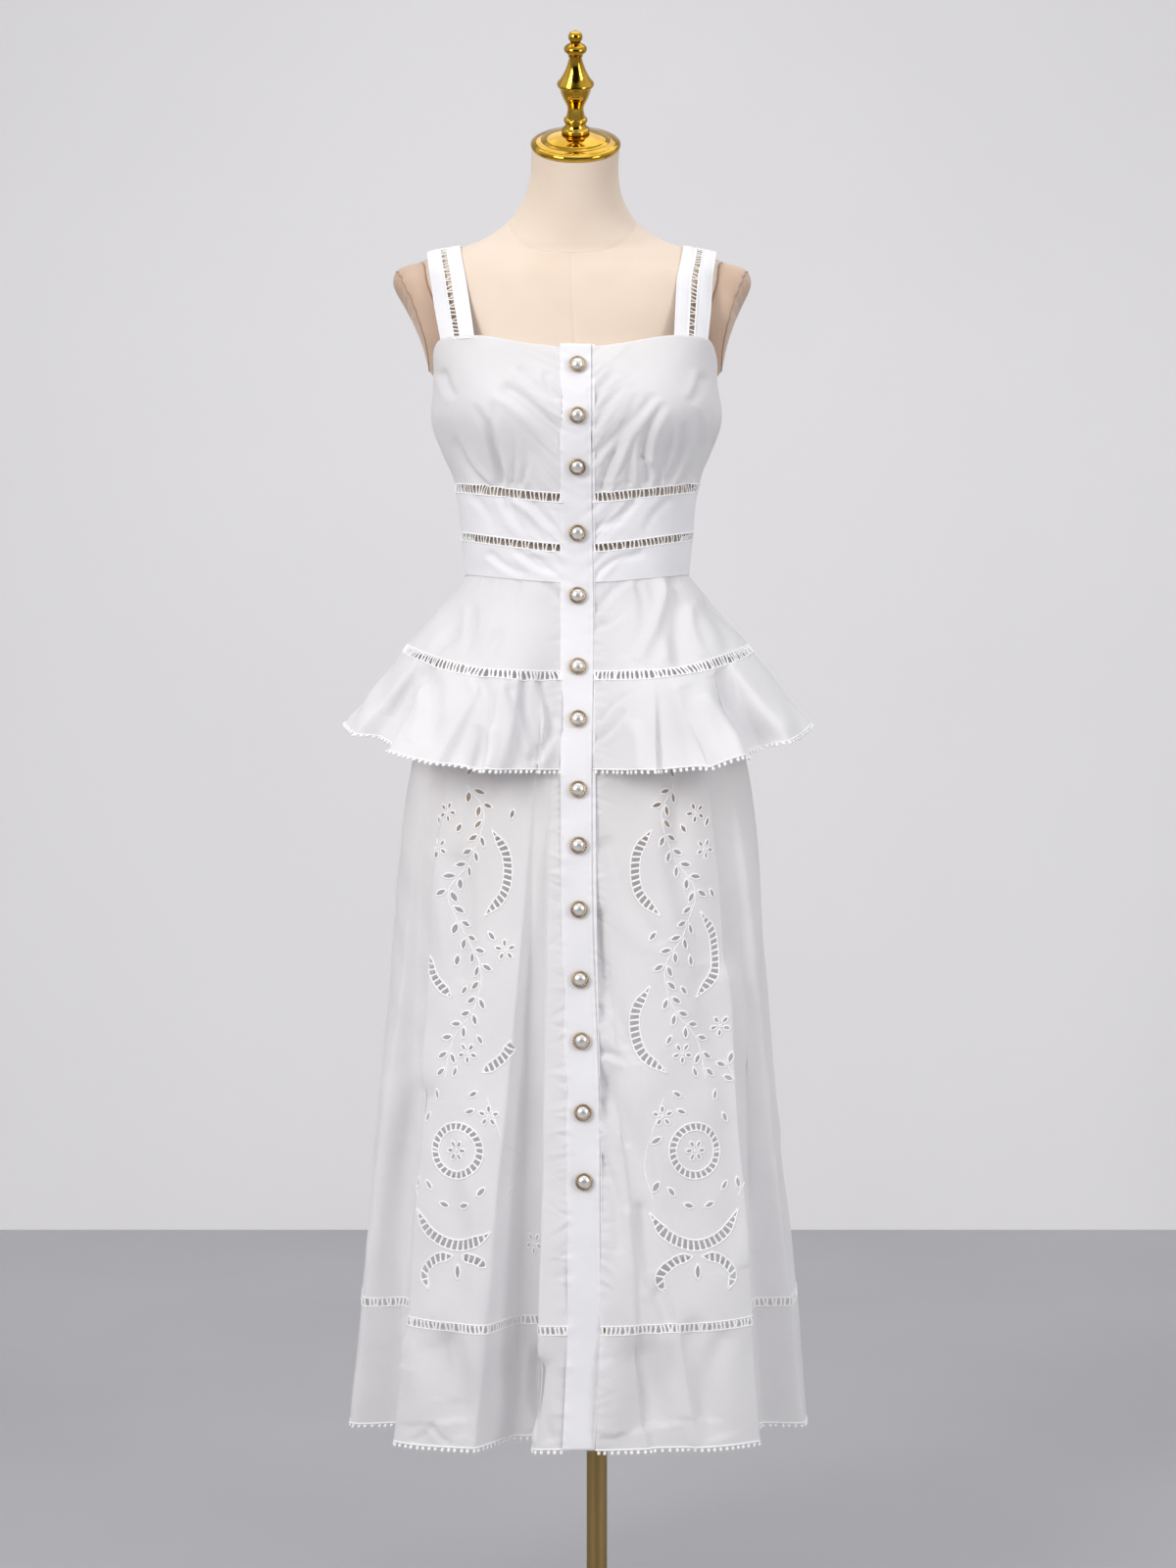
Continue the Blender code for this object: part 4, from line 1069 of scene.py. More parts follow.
# %% [markdown]
# ## The bust
# The bust panels are gathered into the tape below them, and pull a little towards the
# armholes. On the wearer's right the creases fan up from the waist; on the left a long one
# crosses from the band towards the strap. The back is smoother, with drags at the seams.

# %% Place the creases of the bust
BUST_CREASES = table(Crease, """
 -.079 1.2345 -.1073 1.3164 .0045  -.005 .6
-.0759 1.2385  -.088 1.3164  .004  -.004 .6
 -.067  1.236   -.07   1.29 .0035 -.0029 .8
-.0985 1.2345  -.128  1.285 .0045 -.0043 .6
-.0577  1.235  -.052  1.272 .0035 -.0025 .8
-.0729 1.3275 -.0162 1.2689  .006 -.0032 .3
  -.03  1.345  -.019  1.318  .004 -.0018 .3
 .0263 1.2284   .083 1.3255  .005 -.0054 .4
 .0739 1.2365  .0698 1.2608 .0035  -.004 .3
 .0698 1.2608  .0911 1.3164 .0045 -.0047 .5
 .0961 1.2385  .1133 1.2972  .004 -.0043 .5
  .055  1.235   .064  1.286 .0035 -.0029 .8
  .085  1.236     .1    1.3 .0035 -.0032 .8
 -.069  1.333  -.019  1.285  .004 -.0022 .3
 -.056   1.35  -.019  1.318 .0045  -.002 .3
   .02   1.29   .052  1.335  .004 -.0024 .4
   .02  1.262   .064  1.324 .0042 -.0028 .4
   .02  1.318   .042  1.348 .0036  -.002 .4
  .118   1.24    .13   1.31 .0045 -.0036 .5
  .133  1.345    .12  1.318  .005  -.003 .4
 -.138   1.35  -.125  1.324  .005  -.003 .4
""")
BACK_BUST_CREASES = table(Crease, """
 .118 1.245   .07 1.278 .0045 -.0029 .6
 .123 1.265  .082 1.302 .0045 -.0026 .6
-.115 1.242 -.062  1.27 .0045 -.0029 .6
-.124  1.27 -.075   1.3  .005 -.0024 .6
 .098 1.346   .04  1.29  .006 -.0022 .5
-.099 1.345 -.045 1.286  .006 -.0022 .5
""")
CLOTH_WALL = 0.0008
cuts = {}                    # each sheet's cut: width, length, area
grids = {}                   # each sheet's points, for the tapes that are sewn to its edges
sheets = {}                  # each sheet's object
print("creases of the bust:", len(BUST_CREASES), "in front,", len(BACK_BUST_CREASES), "behind")

# %% Define how a panel becomes a piece
SEAM_FADE = 0.010            # creases vanish over this much beside a side seam
TUCK_SINK = 0.0008           # how far a panel's edge sinks under the band
JOIN_BEHIND = 0.0007         # how far a sewn-on top edge lies behind the edge above it
JOIN_REACH = 0.030
BAND_HEM, BAND_TOP = 0.2545, 1.379
WAIST_Z = 1.136
BAND_ABOVE_WAIST = dict(pitch=0.0125, reach=0.026, depth=0.0017, half=0.0026, lean=0.25, tilt=0.8)
BAND_BELOW_WAIST = dict(pitch=0.0082, reach=0.011, depth=0.0012, half=0.0020, lean=0.35)
SIDE_SEAM = dict(pitch=0.017, reach=0.012)
SIDE_SEAM_STEP = 0.008       # between the puckers at a back panel's two seams
TAPE_SEAM = dict(pitch=0.0085, reach=0.008, depth=0.0006)
edge_puckers = {
    edge: draw_puckers(seed, WAIST_Z, BAND_TOP, **BAND_ABOVE_WAIST)
    + draw_puckers(seed + 1, BAND_HEM, WAIST_Z, **BAND_BELOW_WAIST)
    for edge, seed in ((-1, 390), (1, 410))
}


def band_puckers(panel):
    """Puckers beside the button band, which go on across its seam; the back has none."""
    if panel.side == 0:
        return np.zeros(panel.away.shape)
    z = panel.points[..., 2]
    low, high = float(z.min()) - 0.04, float(z.max()) + 0.04
    near = [p for p in edge_puckers[panel.side] if low < p.place < high]
    lift = pucker_lift(near, z, panel.away - BAND_TUCK)
    return lift - TUCK_SINK * ease(1 - panel.away / BAND_TUCK)


def side_drag(panel, seed, depth):
    """Short puckers beside the side seams, where two edges were sewn together."""
    z = panel.points[..., 2]
    drawn = draw_puckers(seed, float(z.min()), float(z.max()), depth=depth, **SIDE_SEAM)
    far = panel.widths[:, None] - panel.away
    lift = pucker_lift(drawn, z, far)
    if panel.side == 0:
        lift = lift + pucker_lift(drawn, z + SIDE_SEAM_STEP, panel.away)
    return lift


def raised(panel, lift):
    """A panel's points, raised by its creases; at the side seams neighbours still meet."""
    seam = panel.widths[:, None] - panel.away
    seam = seam if panel.side else np.minimum(seam, panel.away)
    return panel.points + outward(panel.points) * (lift * ease(seam / SEAM_FADE))[..., None]


def joined(points, edge):
    """Draw a panel's top onto the edge above it, a little behind that edge."""
    top = walk(edge, np.linspace(0, 1, points.shape[1])) - outward(points)[0] * JOIN_BEHIND
    top[:, 2] += JOIN_BEHIND
    from_top = np.linalg.norm(points - points[:1], axis=-1)
    return points + (top - points[0])[None] * ease(1 - from_top / JOIN_REACH)[..., None]


def seam_lift(panel, seed, from_top=True):
    """Puckers along the tape above or below a panel."""
    away = np.linalg.norm(panel.points - panel.points[0 if from_top else -1], axis=-1)
    drawn = draw_puckers(seed, 0, float(panel.widths.max()), **TAPE_SEAM)
    return pucker_lift(drawn, panel.away, away)


def worn_lift(panel, front, back, seed, depth=0.0006):
    """A panel's own creases, and its puckers beside the band and the side seams."""
    lift = crease_lift(front if panel.side else back, *seen_flat(panel.points))
    return lift + (band_puckers(panel) + side_drag(panel, seed, depth))


def cloth_piece(name, panel, lift, finish, node, wall=None, fullness=1.0, under=None):
    """Raise a panel by its creases, make it a piece, and note its cut."""
    points = raised(panel, lift)
    if under is not None:
        points = joined(points, under)
    sheets[name] = make_piece(name, points, grid_faces(*lift.shape), finish, "cotton", node)
    if wall:
        thicken(sheets[name], wall)
    width, length, area = flat_cut(panel)
    cuts[name] = (width * fullness, length, area * fullness)
    grids[name] = points


def ring_of_panels(stem, layer, top, foot, rows, cols, lift_of, finish, wall=None, above=None):
    """A ring cut in three; cols is for a front and the back, above is a ring to join."""
    for k, (word, side) in enumerate(ROUND):
        panel = lay_panel(layer, side, top, foot, rows, cols[side == 0])
        node = f"{stem}_front_{word}" if side else f"{stem}_back"
        under = grids[f"{above}_{word}_cloth"][-1] if above else None
        name = f"{stem}_{word}_cloth"
        cloth_piece(name, panel, lift_of(panel, k), finish, node, wall, under=under)


SIDES = {"right": -1, "left": 1}
ROUND = [*SIDES.items(), ("back", 0)]
print("panels are named for the wearer's sides:", list(SIDES))

# %% Make the bust panels
BUST_FULLNESS = 1.15         # gathered into the tape below: the cut was this much wider
BUST_GATHERED = (0.040, 0.125)           # from the middle line to here and there
BUST_GATHERS = dict(pitch=0.0062, reach=0.016, depth=0.0011, half=0.0019, lean=0.15)
BUST_SWELLS = (0.050, 0.045, 0.0004)     # how wide, how long and how high, here and below


def bust_panel(word, side, seed, rows, cols, node):
    panel = lay_panel(BODICE, side, "top", "ladder_1_top", rows, cols, neckline=True)
    across, z = seen_flat(panel.points)
    lift = worn_lift(panel, BUST_CREASES, BACK_BUST_CREASES, seed + 1)
    if side:
        gathers = draw_puckers(seed + 2, *BUST_GATHERED, **BUST_GATHERS)
        lift += pucker_lift(gathers, np.abs(across), z - z[-1:])
    lift += waves(seed + 3, panel.away, z, *BUST_SWELLS)
    fullness = BUST_FULLNESS if side else 1.0
    cloth_piece(f"bust_{word}_cloth", panel, lift, COTTON, node, CLOTH_WALL, fullness)


for word, side in SIDES.items():
    bust_panel(word, side, 20 + side, 74, 116, f"bodice_front_{word}")
bust_panel("back", 0, 30, 46, 120, "bodice_back")
print("bust panels made")

# %% [markdown]
# ## The waistbands
# Two bands of doubled cotton lie flat on the ribs and waist, with a tape above, between and
# below. They are firm, so they carry only a few slanting drag lines from the buttons.

# %% Make the waistbands
WAISTBAND_CREASES = table(Crease, """
-.0746 1.2192 -.0492 1.1816  .005 -.0024 .5
-.0644 1.2151 -.0288 1.1785 .0045   .002 .5
-.0441 1.2121 -.0187 1.1867  .004  -.002 .5
  .062  1.221   .033  1.184  .005 -.0024 .5
  .096  1.218    .07  1.183 .0045 -.0015 .5
 -.105   1.22  -.086  1.185 .0045 -.0015 .5
  -.06  1.163   -.02  1.142  .004 -.0022 .5
 -.045  1.163   -.02  1.152 .0035  .0015 .5
  .065  1.162   .035  1.142 .0045 -.0017 .5
  .022   1.14   .056  1.162 .0035 -.0024 .4
  .021  1.188    .06  1.216 .0035 -.0022 .4
  .021  1.178   .048  1.196  .003 -.0018 .4
  -.09  1.162   -.05   1.14  .004  -.002 .5
""")
BACK_WAIST_CREASES = table(Crease, """
  .09  1.21  .045 1.188  .005 -.0018 .5
-.088 1.208  -.04 1.186  .005 -.0018 .5
 .085  1.16   .04 1.148 .0045 -.0015 .5
 -.08 1.162 -.035  1.15 .0045 -.0015 .5
""")
WAIST_SWELLS = (0.040, 0.030, 0.0003)


def waistband(stem, top, foot, seed):
    """One ring of the waist."""

    def lift_of(panel, k):
        lift = worn_lift(panel, WAISTBAND_CREASES, BACK_WAIST_CREASES, seed + 5 + k)
        return lift + waves(seed + 9 + k, panel.away, panel.points[..., 2], *WAIST_SWELLS)

    ring_of_panels(stem, BODICE, top, foot, 26, (96, 120), lift_of, DOUBLE_COTTON, CLOTH_WALL)


waistband("upper_waistband", "ladder_1_foot", "ladder_2_top", 40)
waistband("lower_waistband", "ladder_2_foot", "waist", 60)
print("waistband cuts:", {k: round(v[0], 3) for k, v in cuts.items() if "waistband" in k})

# %% [markdown]
# ## The peplum
# The peplum flares over the hips in two tiers with a tape between them. Its folds start under
# the waist seam and open towards the hem. It is a single layer, so it glows a little.

# %% Make the peplum
PEPLUM_CREASES = table(Crease, """
-.1302 1.0783 -.1503 1.0552  .006 -.0033 .5
-.1091 1.1014 -.1181 1.0552 .0055 -.0033 .5
-.0809 1.0763  -.091 1.0521  .005  -.003 .5
 .0909 1.1335  .0909 1.0491  .007  .0042 .3
 .1161 1.1024  .1311 1.0531 .0065  .0039 .4
  .064  1.128   .068   1.09  .005 -.0024 .6
 -.062  1.128  -.066  1.095 .0045 -.0021 .6
 .0207  1.104    .06  1.134  .004  -.003 .4
  .021  1.085    .05  1.102 .0035 -.0024 .5
 .0923  1.131    .06   1.05  .006  .0036 .2
    .1  1.128   .108  1.045  .009  -.006 .2
   .14   1.11    .16   1.06   .01 -.0045 .3
 -.021  1.118  -.048  1.132  .004 -.0024 .4
""")
PEPLUM_HEM_CREASES = table(Crease, """
-.1553 1.0391 -.1925  .9878  .007  -.004 .4
  -.15  1.025  -.156   .965  .009  -.006 .3
 -.104  .9456    -.1  .9838  .007 -.0064 .6
-.0668   1.02 -.0608  .9416  .006 -.0031 .3
-.0457  .9486 -.0236  .9949 .0055 -.0031 .5
 .1332  .9426   .111  1.024  .012  -.007 .5
 .1653  .9496  .1291  1.015 .0075  .0042 .4
 .1914  .9697  .1462 1.0401  .012 -.0085 .4
  .062   .942   .054    .99  .007  .0031 .5
 -.038  1.028   -.03   .965 .0045  -.004 .3
 -.054  1.028  -.042   .956  .005 -.0045 .3
 -.098  1.028   -.09    .98  .006 -.0036 .4
  .022    .97   .048      1 .0035  -.003 .4
  .023    .99   .056  1.018  .003 -.0018 .4
""")
BACK_PEPLUM_CREASES = table(Crease, """
 .06 1.128  .072  1.07 .006  -.003 .5
-.04 1.128  -.05 1.065 .006  -.003 .5
.095  1.04  .115   .96 .008  .0042 .4
-.09  1.04 -.112   .96 .008  .0042 .4
 .01 1.035  .006  .956 .008 -.0036 .4
""")
PEPLUM_SWELLS = (0.055, 0.070, 0.0008)


def peplum_tier(stem, top, foot, rows, creases, seed, wall=None, above=None):
    """One tier of the peplum; the back's swells run down its columns, which spread."""

    def lift_of(panel, k):
        z = panel.points[..., 2]
        lift = worn_lift(panel, creases, BACK_PEPLUM_CREASES, seed + 5 + k)
        lift += seam_lift(panel, seed + 8 + k)
        along = panel.away if panel.side else panel.shares * panel.widths.mean() + 0 * z
        return lift + waves(seed + 12 + k, along, z, *PEPLUM_SWELLS)

    ring_of_panels(stem, PEPLUM, top, foot, rows, (120, 170), lift_of, COTTON, wall, above)


peplum_tier(
    "peplum_upper", "waist", "ladder_3_top", 42, PEPLUM_CREASES, 80, above="lower_waistband"
)
peplum_tier("peplum_lower", "ladder_3_foot", "edge", 44, PEPLUM_HEM_CREASES, 110, CLOTH_WALL)
print("peplum cuts:", {k: round(v[0], 3) for k, v in cuts.items() if "peplum" in k})

# %% [markdown]
# ## The skirt
# The skirt falls in long folds. The deepest lies on the wearer's right, beside the button
# band, where the front edge curls under itself. Between folds the cloth is never quite flat:
# long soft swells run down it, and shorter ones cross them.

# %% Define how the skirt hangs
SKIRT_CREASES = table(Crease, """
.0623 .4916  .082 .4058  .007 -.0045 .2
 .082 .4058 .0958 .3141  .007 -.0042 .6
.0187 .7887 .0623 .6395  .009  -.006 .4
 .026   .62  .072   .43  .012 -.0058 .4
 -.09   .93 -.115   .72  .012 -.0048 .4
-.125   .84  -.15    .6  .013 -.0048 .4
 .105   .93   .13   .74  .012 -.0048 .4
  .15   .72  .172   .43  .014  .0048 .3
 -.16    .6 -.178   .33  .014 -.0048 .3
-.115   .56 -.122    .3  .012  .0042 .3
 .118  .365  .142  .262  .015  -.008 .3
 -.13   .36 -.118  .265  .011 -.0038 .3
 .022  .695  .049  .655  .005 -.0036 .4
  .02  .652  .052   .64 .0045  -.003 .5
 .022    .6  .052  .556  .005 -.0036 .4
 .024  .545  .042   .45  .006 -.0034 .4
  .03   .86  .085   .76   .01 -.0034 .3
 .064  .342  .074  .275  .021   -.01 .1
 .146   .36  .134   .28  .012  -.004 .1
 -.14   .35  -.13   .28  .019 -.0075 .2
-.038  .335  -.03  .262  .009  -.007 .2
-.148  .274  -.17  .256  .003 -.0018 .3
-.148  .274 -.126  .256  .003 -.0018 .3
""")
BACK_SKIRT_CREASES = table(Crease, """
  .08 .92  .102 .68 .013 -.0045 .3
 -.07  .9 -.098 .62 .013 -.0045 .3
 .015 .86  .022 .52 .014  .0042 .3
 .145  .7   .16 .38 .014 -.0045 .3
 -.14 .68  -.16 .36 .014 -.0045 .3
-.025 .56  -.02 .28 .012 -.0039 .3
""")
SKIRT_WAVE_SEED = 200
LONG_SWELLS = (0.085, 0.420, 0.0016)
SHORT_SWELLS = (0.050, 0.060, 0.0005)


def skirt_lift(panel, seed):
    """Creases, swells and puckers of a skirt panel or of the hem band below it."""
    z, swells = panel.points[..., 2], SKIRT_WAVE_SEED + panel.side
    lift = worn_lift(panel, SKIRT_CREASES, BACK_SKIRT_CREASES, seed + 1, 0.0008)
    lift += waves(swells, panel.away, z, *LONG_SWELLS)
    return lift + waves(swells + 5, panel.away, z, *SHORT_SWELLS)


print("creases of the skirt:", len(SKIRT_CREASES), "in front,", len(BACK_SKIRT_CREASES), "behind")

# %% Make the hem bands
def hem_lift(panel, k):
    return skirt_lift(panel, 150 + 4 * k) + seam_lift(panel, 170 + k)


# the hem band wears the darker cotton, whose colour holds painted shade
ring_of_panels("hem_band", SKIRT, "ladder_4_foot", "edge", 46, (170, 250), hem_lift, SHADED_HEM_COTTON)
print("hem band cuts:", {k: round(v[0], 3) for k, v in cuts.items() if "hem" in k})

# %% Make the back of the skirt
panel = lay_panel(SKIRT, 0, "waist", "ladder_4_top", 160, 210)
lift = skirt_lift(panel, 180) + seam_lift(panel, 190, False)
cloth_piece("skirt_back_cloth", panel, lift, COTTON, "skirt_back")
print("skirt back's cut:", [round(v, 3) for v in cuts["skirt_back_cloth"]])

# %% [markdown]
# ## Cutwork on the skirt
# Each front of the skirt has cutwork: shapes are embroidered round with satin stitch and the
# cloth inside is cut away. Leaves and petals are open holes, and the ribbons are long open
# strips with threads laid across like a ladder. The design here is a plain vine with sprigs,
# crescents, a ring and a garland, drawn flat: out from the band's edge, and down the drop.
# Both fronts use it, so they mirror each other.

# %% Write down the cutwork
Ribbon = namedtuple("Ribbon", "places half closed")
Flower = namedtuple("Flower", "out down petals turn")
Hole = namedtuple("Hole", "out down turn half_length half_width tip")
Strip = namedtuple("Strip", "line along aside widths closed")
Place = namedtuple("Place", "out down")
Ring = namedtuple("Ring", "out down radius half")
VINES = [table(Place, text) for text in (
    ".098 .216, .082 .248, .096 .29, .12 .328, .106 .368, .084 .404, .092 .446, .118 .48, .126 .52",
    ".16 .64, .176 .608, .178 .566, .164 .528, .15 .5",
    ".068 .64, .06 .606, .068 .57, .08 .536",
)]
RIBBONS = [Ribbon(table(Place, text), half, False) for half, text in (
    (0.0048, ".072 .262, .056 .29, .058 .326, .08 .352"),
    (0.0048, ".126 .348, .141 .374, .14 .41, .118 .436"),
    (0.0048, ".068 .422, .052 .452, .058 .49, .084 .512"),
    (0.0050, ".064 .652, .082 .674, .112 .684, .142 .674, .16 .652"),
    (0.0042, ".108 .694, .088 .698, .074 .712, .08 .726"),
    (0.0042, ".116 .694, .136 .698, .15 .712, .144 .726"),
)]
RING = Ring(out=0.112, down=0.592, radius=0.0245, half=0.0038)
FLOWERS = table(Flower, """
.132 .284 5  10
.058 .386 5 -14
.146 .466 5  22
.112 .592 6   0
.046 .566 5  -8
.198 .624 5   6
 .05 .688 5  14
.172  .69 5   4
.122 .246 5  30
  .1 .492 5  18
.078 .556 5 -20
""")
LONE_LEAVES = table(Hole, """
.096 .202  78 .0064 .0029 1
.148  .56  60 .0062 .0028 1
.144 .628 -50 .0062 .0028 1
.086 .632  50  .006 .0028 1
.104 .646  15  .006 .0028 1
.126 .646 -18  .006 .0028 1
.112 .708  90 .0072  .003 1
.098 .552  20 .0058 .0026 1
 .14  .33  60  .006 .0027 1
 .05 .246  70  .006 .0027 1
.042 .424 -70  .006 .0027 1
.108 .262  60 .0056 .0026 1
.136 .256 110 .0056 .0026 1
.112 .398  80 .0062 .0028 1
.072 .372 -50  .006 .0027 1
.104 .428  50 .0058 .0026 1
.086 .478 120 .0058 .0026 1
.114 .512  70 .0058 .0026 1
.136 .536 100  .006 .0027 1
.094 .534  30 .0056 .0026 1
""")
FRONT_FROM = {-1: 0.0, 1: 0.068}         # nothing is cut nearer to the middle than this
FRONT_SHIFT = {-1: 0.003, 1: -0.012}     # the design sits a little further out on one side
BAR_PITCH = 0.0066
LEAF_PITCH = 0.0168
print("cutwork:", len(RIBBONS) + 1, "ribbons and", len(FLOWERS), "flowers")

# %% Draw the cutwork flat
FLAT_STEP = 0.0012           # between the points of a curve
EYE_HALF = 0.0014
PETAL_REACH = 0.0072         # from a flower's eye to the middle of a petal
PETAL_HALVES = (0.0037, 0.0023)
LEAF_REACH = 0.0092          # from a stem to the middle of a leaf
LEAF_HALVES = (0.0064, 0.0029)
LEAF_LEAN = 42               # degrees between a leaf and its stem
LEAF_TIP, PETAL_TIP = 1.0, 0.5           # a leaf is pointed, a petal is rounded
LEAF_GAP = 0.0110            # between the leaves of one stem
RIBBON_GAP, FLOWER_GAP, HOLE_GAP = 0.0122, 0.0175, 0.0120


def heading(degrees):
    """The direction at an angle from straight out."""
    turn = math.radians(degrees)
    return np.array([math.cos(turn), math.sin(turn)])


def flat_curve(places, closed=False):
    """Even points along a smooth curve, its directions, and its half-turned sides."""
    places = np.array(places, float)
    at = np.arange(len(places))
    dense = np.linspace(0, len(places) - 1, 60 * len(places))
    line = np.stack([curve_through(at, places[:, k], dense) for k in (0, 1)], axis=-1)
    walked = run_of(line)
    count = max(3, int(walked[-1] / FLAT_STEP))
    line = read(line, np.linspace(0, walked[-1], count, endpoint=not closed), walked)
    if closed:
        along = unit(np.roll(line, -1, axis=0) - np.roll(line, 1, axis=0))
    else:
        along = unit(np.gradient(line, axis=0))
    return line, along, np.stack([-along[:, 1], along[:, 0]], axis=-1)


def tapered(count):
    """Share of the full width along an open ribbon, which has a point at both ends."""
    return np.clip(np.sin(math.pi * np.linspace(0, 1, count)) * 1.9, 0.12, 1.0)


def petals(flower):
    """The holes of one flower: its eye and its petals."""
    found = [Hole(flower.out, flower.down, 0.0, EYE_HALF, EYE_HALF, PETAL_TIP)]
    for k in range(int(flower.petals)):
        turn = flower.turn + 360.0 * k / flower.petals
        middle = flower[:2] + PETAL_REACH * heading(turn)
        found.append(Hole(*middle, turn, *PETAL_HALVES, PETAL_TIP))
    return found


def sprig(places, taken):
    """Leaves on both sides of a vine, left out where something is in the way."""
    line, along, aside = flat_curve(places)
    found = []
    for k in range(4, len(line) - 2, int(LEAF_PITCH / FLAT_STEP)):
        for side in (1, -1):
            turn = math.degrees(math.atan2(along[k, 1], along[k, 0])) + LEAF_LEAN * side
            x, y = line[k] + heading(turn) * LEAF_REACH
            near = taken + [(h.out, h.down, LEAF_GAP) for h in found]
            if all(math.hypot(x - out, y - down) > gap for out, down, gap in near):
                found.append(Hole(x, y, turn, *LEAF_HALVES, LEAF_TIP))
    return found


ring_places = [RING[:2] + RING.radius * heading(15.0 * k) for k in range(25)]
all_ribbons = RIBBONS + [Ribbon(ring_places, RING.half, True)]
taken = [(*p, RIBBON_GAP) for r in all_ribbons for p in flat_curve(r.places)[0][::3]]
taken += [(f.out, f.down, FLOWER_GAP) for f in FLOWERS]
taken += [(h.out, h.down, HOLE_GAP) for h in LONE_LEAVES]
hole_groups = [petals(flower) for flower in FLOWERS] + [[leaf] for leaf in LONE_LEAVES]
for vine in VINES:
    grown = sprig(vine, taken)
    taken += [(h.out, h.down, HOLE_GAP) for h in grown]
    hole_groups += [[leaf] for leaf in grown]
print("holes in the design:", sum(len(group) for group in hole_groups))

# %% [markdown]
# ## Cutting the holes
# The skirt's grid is fine where the cutwork lies. Faces whose middle falls inside a shape are
# left out, and the points round each opening are drawn onto its outline, so that the edge is
# smooth. The satin stitch is then laid over that edge as a raised flat cord.

# %% Cut and stitch
STRETCH_LIMIT = 1.30         # a fold begins where the cloth is this much wider than it looks
SHORTEST_STRIP = 22          # points of the shortest piece of ribbon that is kept
HOLE_REACH = 0.0030          # how far round a hole, and round a strip, the grid is looked at
STRIP_REACH = 0.0090
SNAP_LIMIT = 0.0016          # the furthest that a point of the grid is drawn onto an outline
PLAIN_SKIRT = Layer(SKIRT_ROWS, sweep=4.0)


def in_shape(hole, out, down):
    """Signed distance to a leaf's or petal's edge, about, and the way to that edge."""
    cos, sin = heading(hole.turn)

    def depth(x, y):
        x, y = x - hole.out, y - hole.down
        u, v = x * cos + y * sin, y * cos - x * sin
        share = np.clip(1 - (u / hole.half_length) ** 2, 0, 1)
        beyond = np.clip(np.abs(u) - hole.half_length, 0, None)
        return np.hypot(beyond, np.abs(v)) - hole.half_width * share**hole.tip

    step = 0.0001
    slope = np.stack([
        depth(out + step, down) - depth(out - step, down),
        depth(out, down + step) - depth(out, down - step),
    ], axis=-1) / (2 * step)
    here = depth(out, down)
    size = np.clip((slope**2).sum(axis=-1, keepdims=True), 0.3, None)
    return here, -here[..., None] * slope / size


def in_ribbon(strip, out, down):
    """The same for a ribbon, from its nearest middle point."""
    gap = np.stack([out, down], axis=-1)[..., None, :] - strip.line
    far = np.hypot(gap[..., 0], gap[..., 1])
    near = (far - strip.widths).argmin(axis=-1)
    gone = np.take_along_axis(far, near[..., None], -1)[..., 0]
    way = np.take_along_axis(gap, near[..., None, None], -2)[..., 0, :]
    here = gone - strip.widths[near]
    return here, -here[..., None] * way / np.maximum(gone, 1e-6)[..., None]


def drawn_out(panel):
    """How far out from the band each point of a front is drawn: the folds are left out."""
    drops = np.broadcast_to(panel.drops[:, None], panel.away.shape)
    plain = PLAIN_SKIRT.points(panel.angles, drops)
    return run_of(plain[:, ::panel.side])[:, ::panel.side] - FRONT_SHIFT[panel.side]


def grid_places(panel, out, places):
    """The row and column, with fractions, where flat places (out, down) lie on a front."""
    places = np.asarray(places, float)
    row = np.interp(places[..., 1], panel.drops, np.arange(len(panel.drops)))
    columns = np.arange(out.shape[1])[::panel.side]
    pairs = zip(places[..., 0].reshape(-1), np.round(row).astype(int).reshape(-1))
    col = np.array([np.interp(x, out[k][::panel.side], columns) for x, k in pairs])
    return row, col.reshape(row.shape)


def lies_flat(panel, out, places):
    """Which flat places lie outside the folds, where the cloth is no wider than it looks."""
    row, col = grid_places(panel, out, places)
    i = np.round(row).astype(int)
    j = np.clip(np.round(col).astype(int), 2, out.shape[1] - 3)
    cloth, seen = (np.abs(grid[i, j + 2] - grid[i, j - 2]) for grid in (panel.away, out))
    return cloth < STRETCH_LIMIT * seen


def hole_tips(hole):
    """A hole's middle and its two tips."""
    reach = heading(hole.turn) * (hole.half_length + 0.0015)
    return hole[:2] + np.array([-1, 0, 1])[:, None] * reach


def longest_run(flags):
    """The slice of the longest unbroken run of true flags."""
    marks = np.flatnonzero(np.diff(np.concatenate([[0], flags.astype(int), [0]])))
    starts, stops = marks[::2], marks[1::2]
    k = int((stops - starts).argmax())
    return slice(starts[k], stops[k])


def shapes_of(panel, out):
    """The holes and strips of one front, without those that would fall inside a fold."""
    kept, strips = [], []
    for group in hole_groups:
        near = min(hole.out for hole in group) < FRONT_FROM[panel.side]
        if not near and all(lies_flat(panel, out, hole_tips(hole)).all() for hole in group):
            kept += group
    for ribbon in all_ribbons:
        curve = flat_curve(ribbon.places, ribbon.closed)
        flat = lies_flat(panel, out, curve[0])
        if ribbon.closed and flat.all():
            strips.append(Strip(*curve, np.full(len(flat), ribbon.half), True))
        elif not ribbon.closed and flat.any():
            run = longest_run(flat)
            count = run.stop - run.start
            if count > SHORTEST_STRIP:
                part = [values[run] for values in curve]
                strips.append(Strip(*part, ribbon.half * tapered(count), False))
    return kept, strips


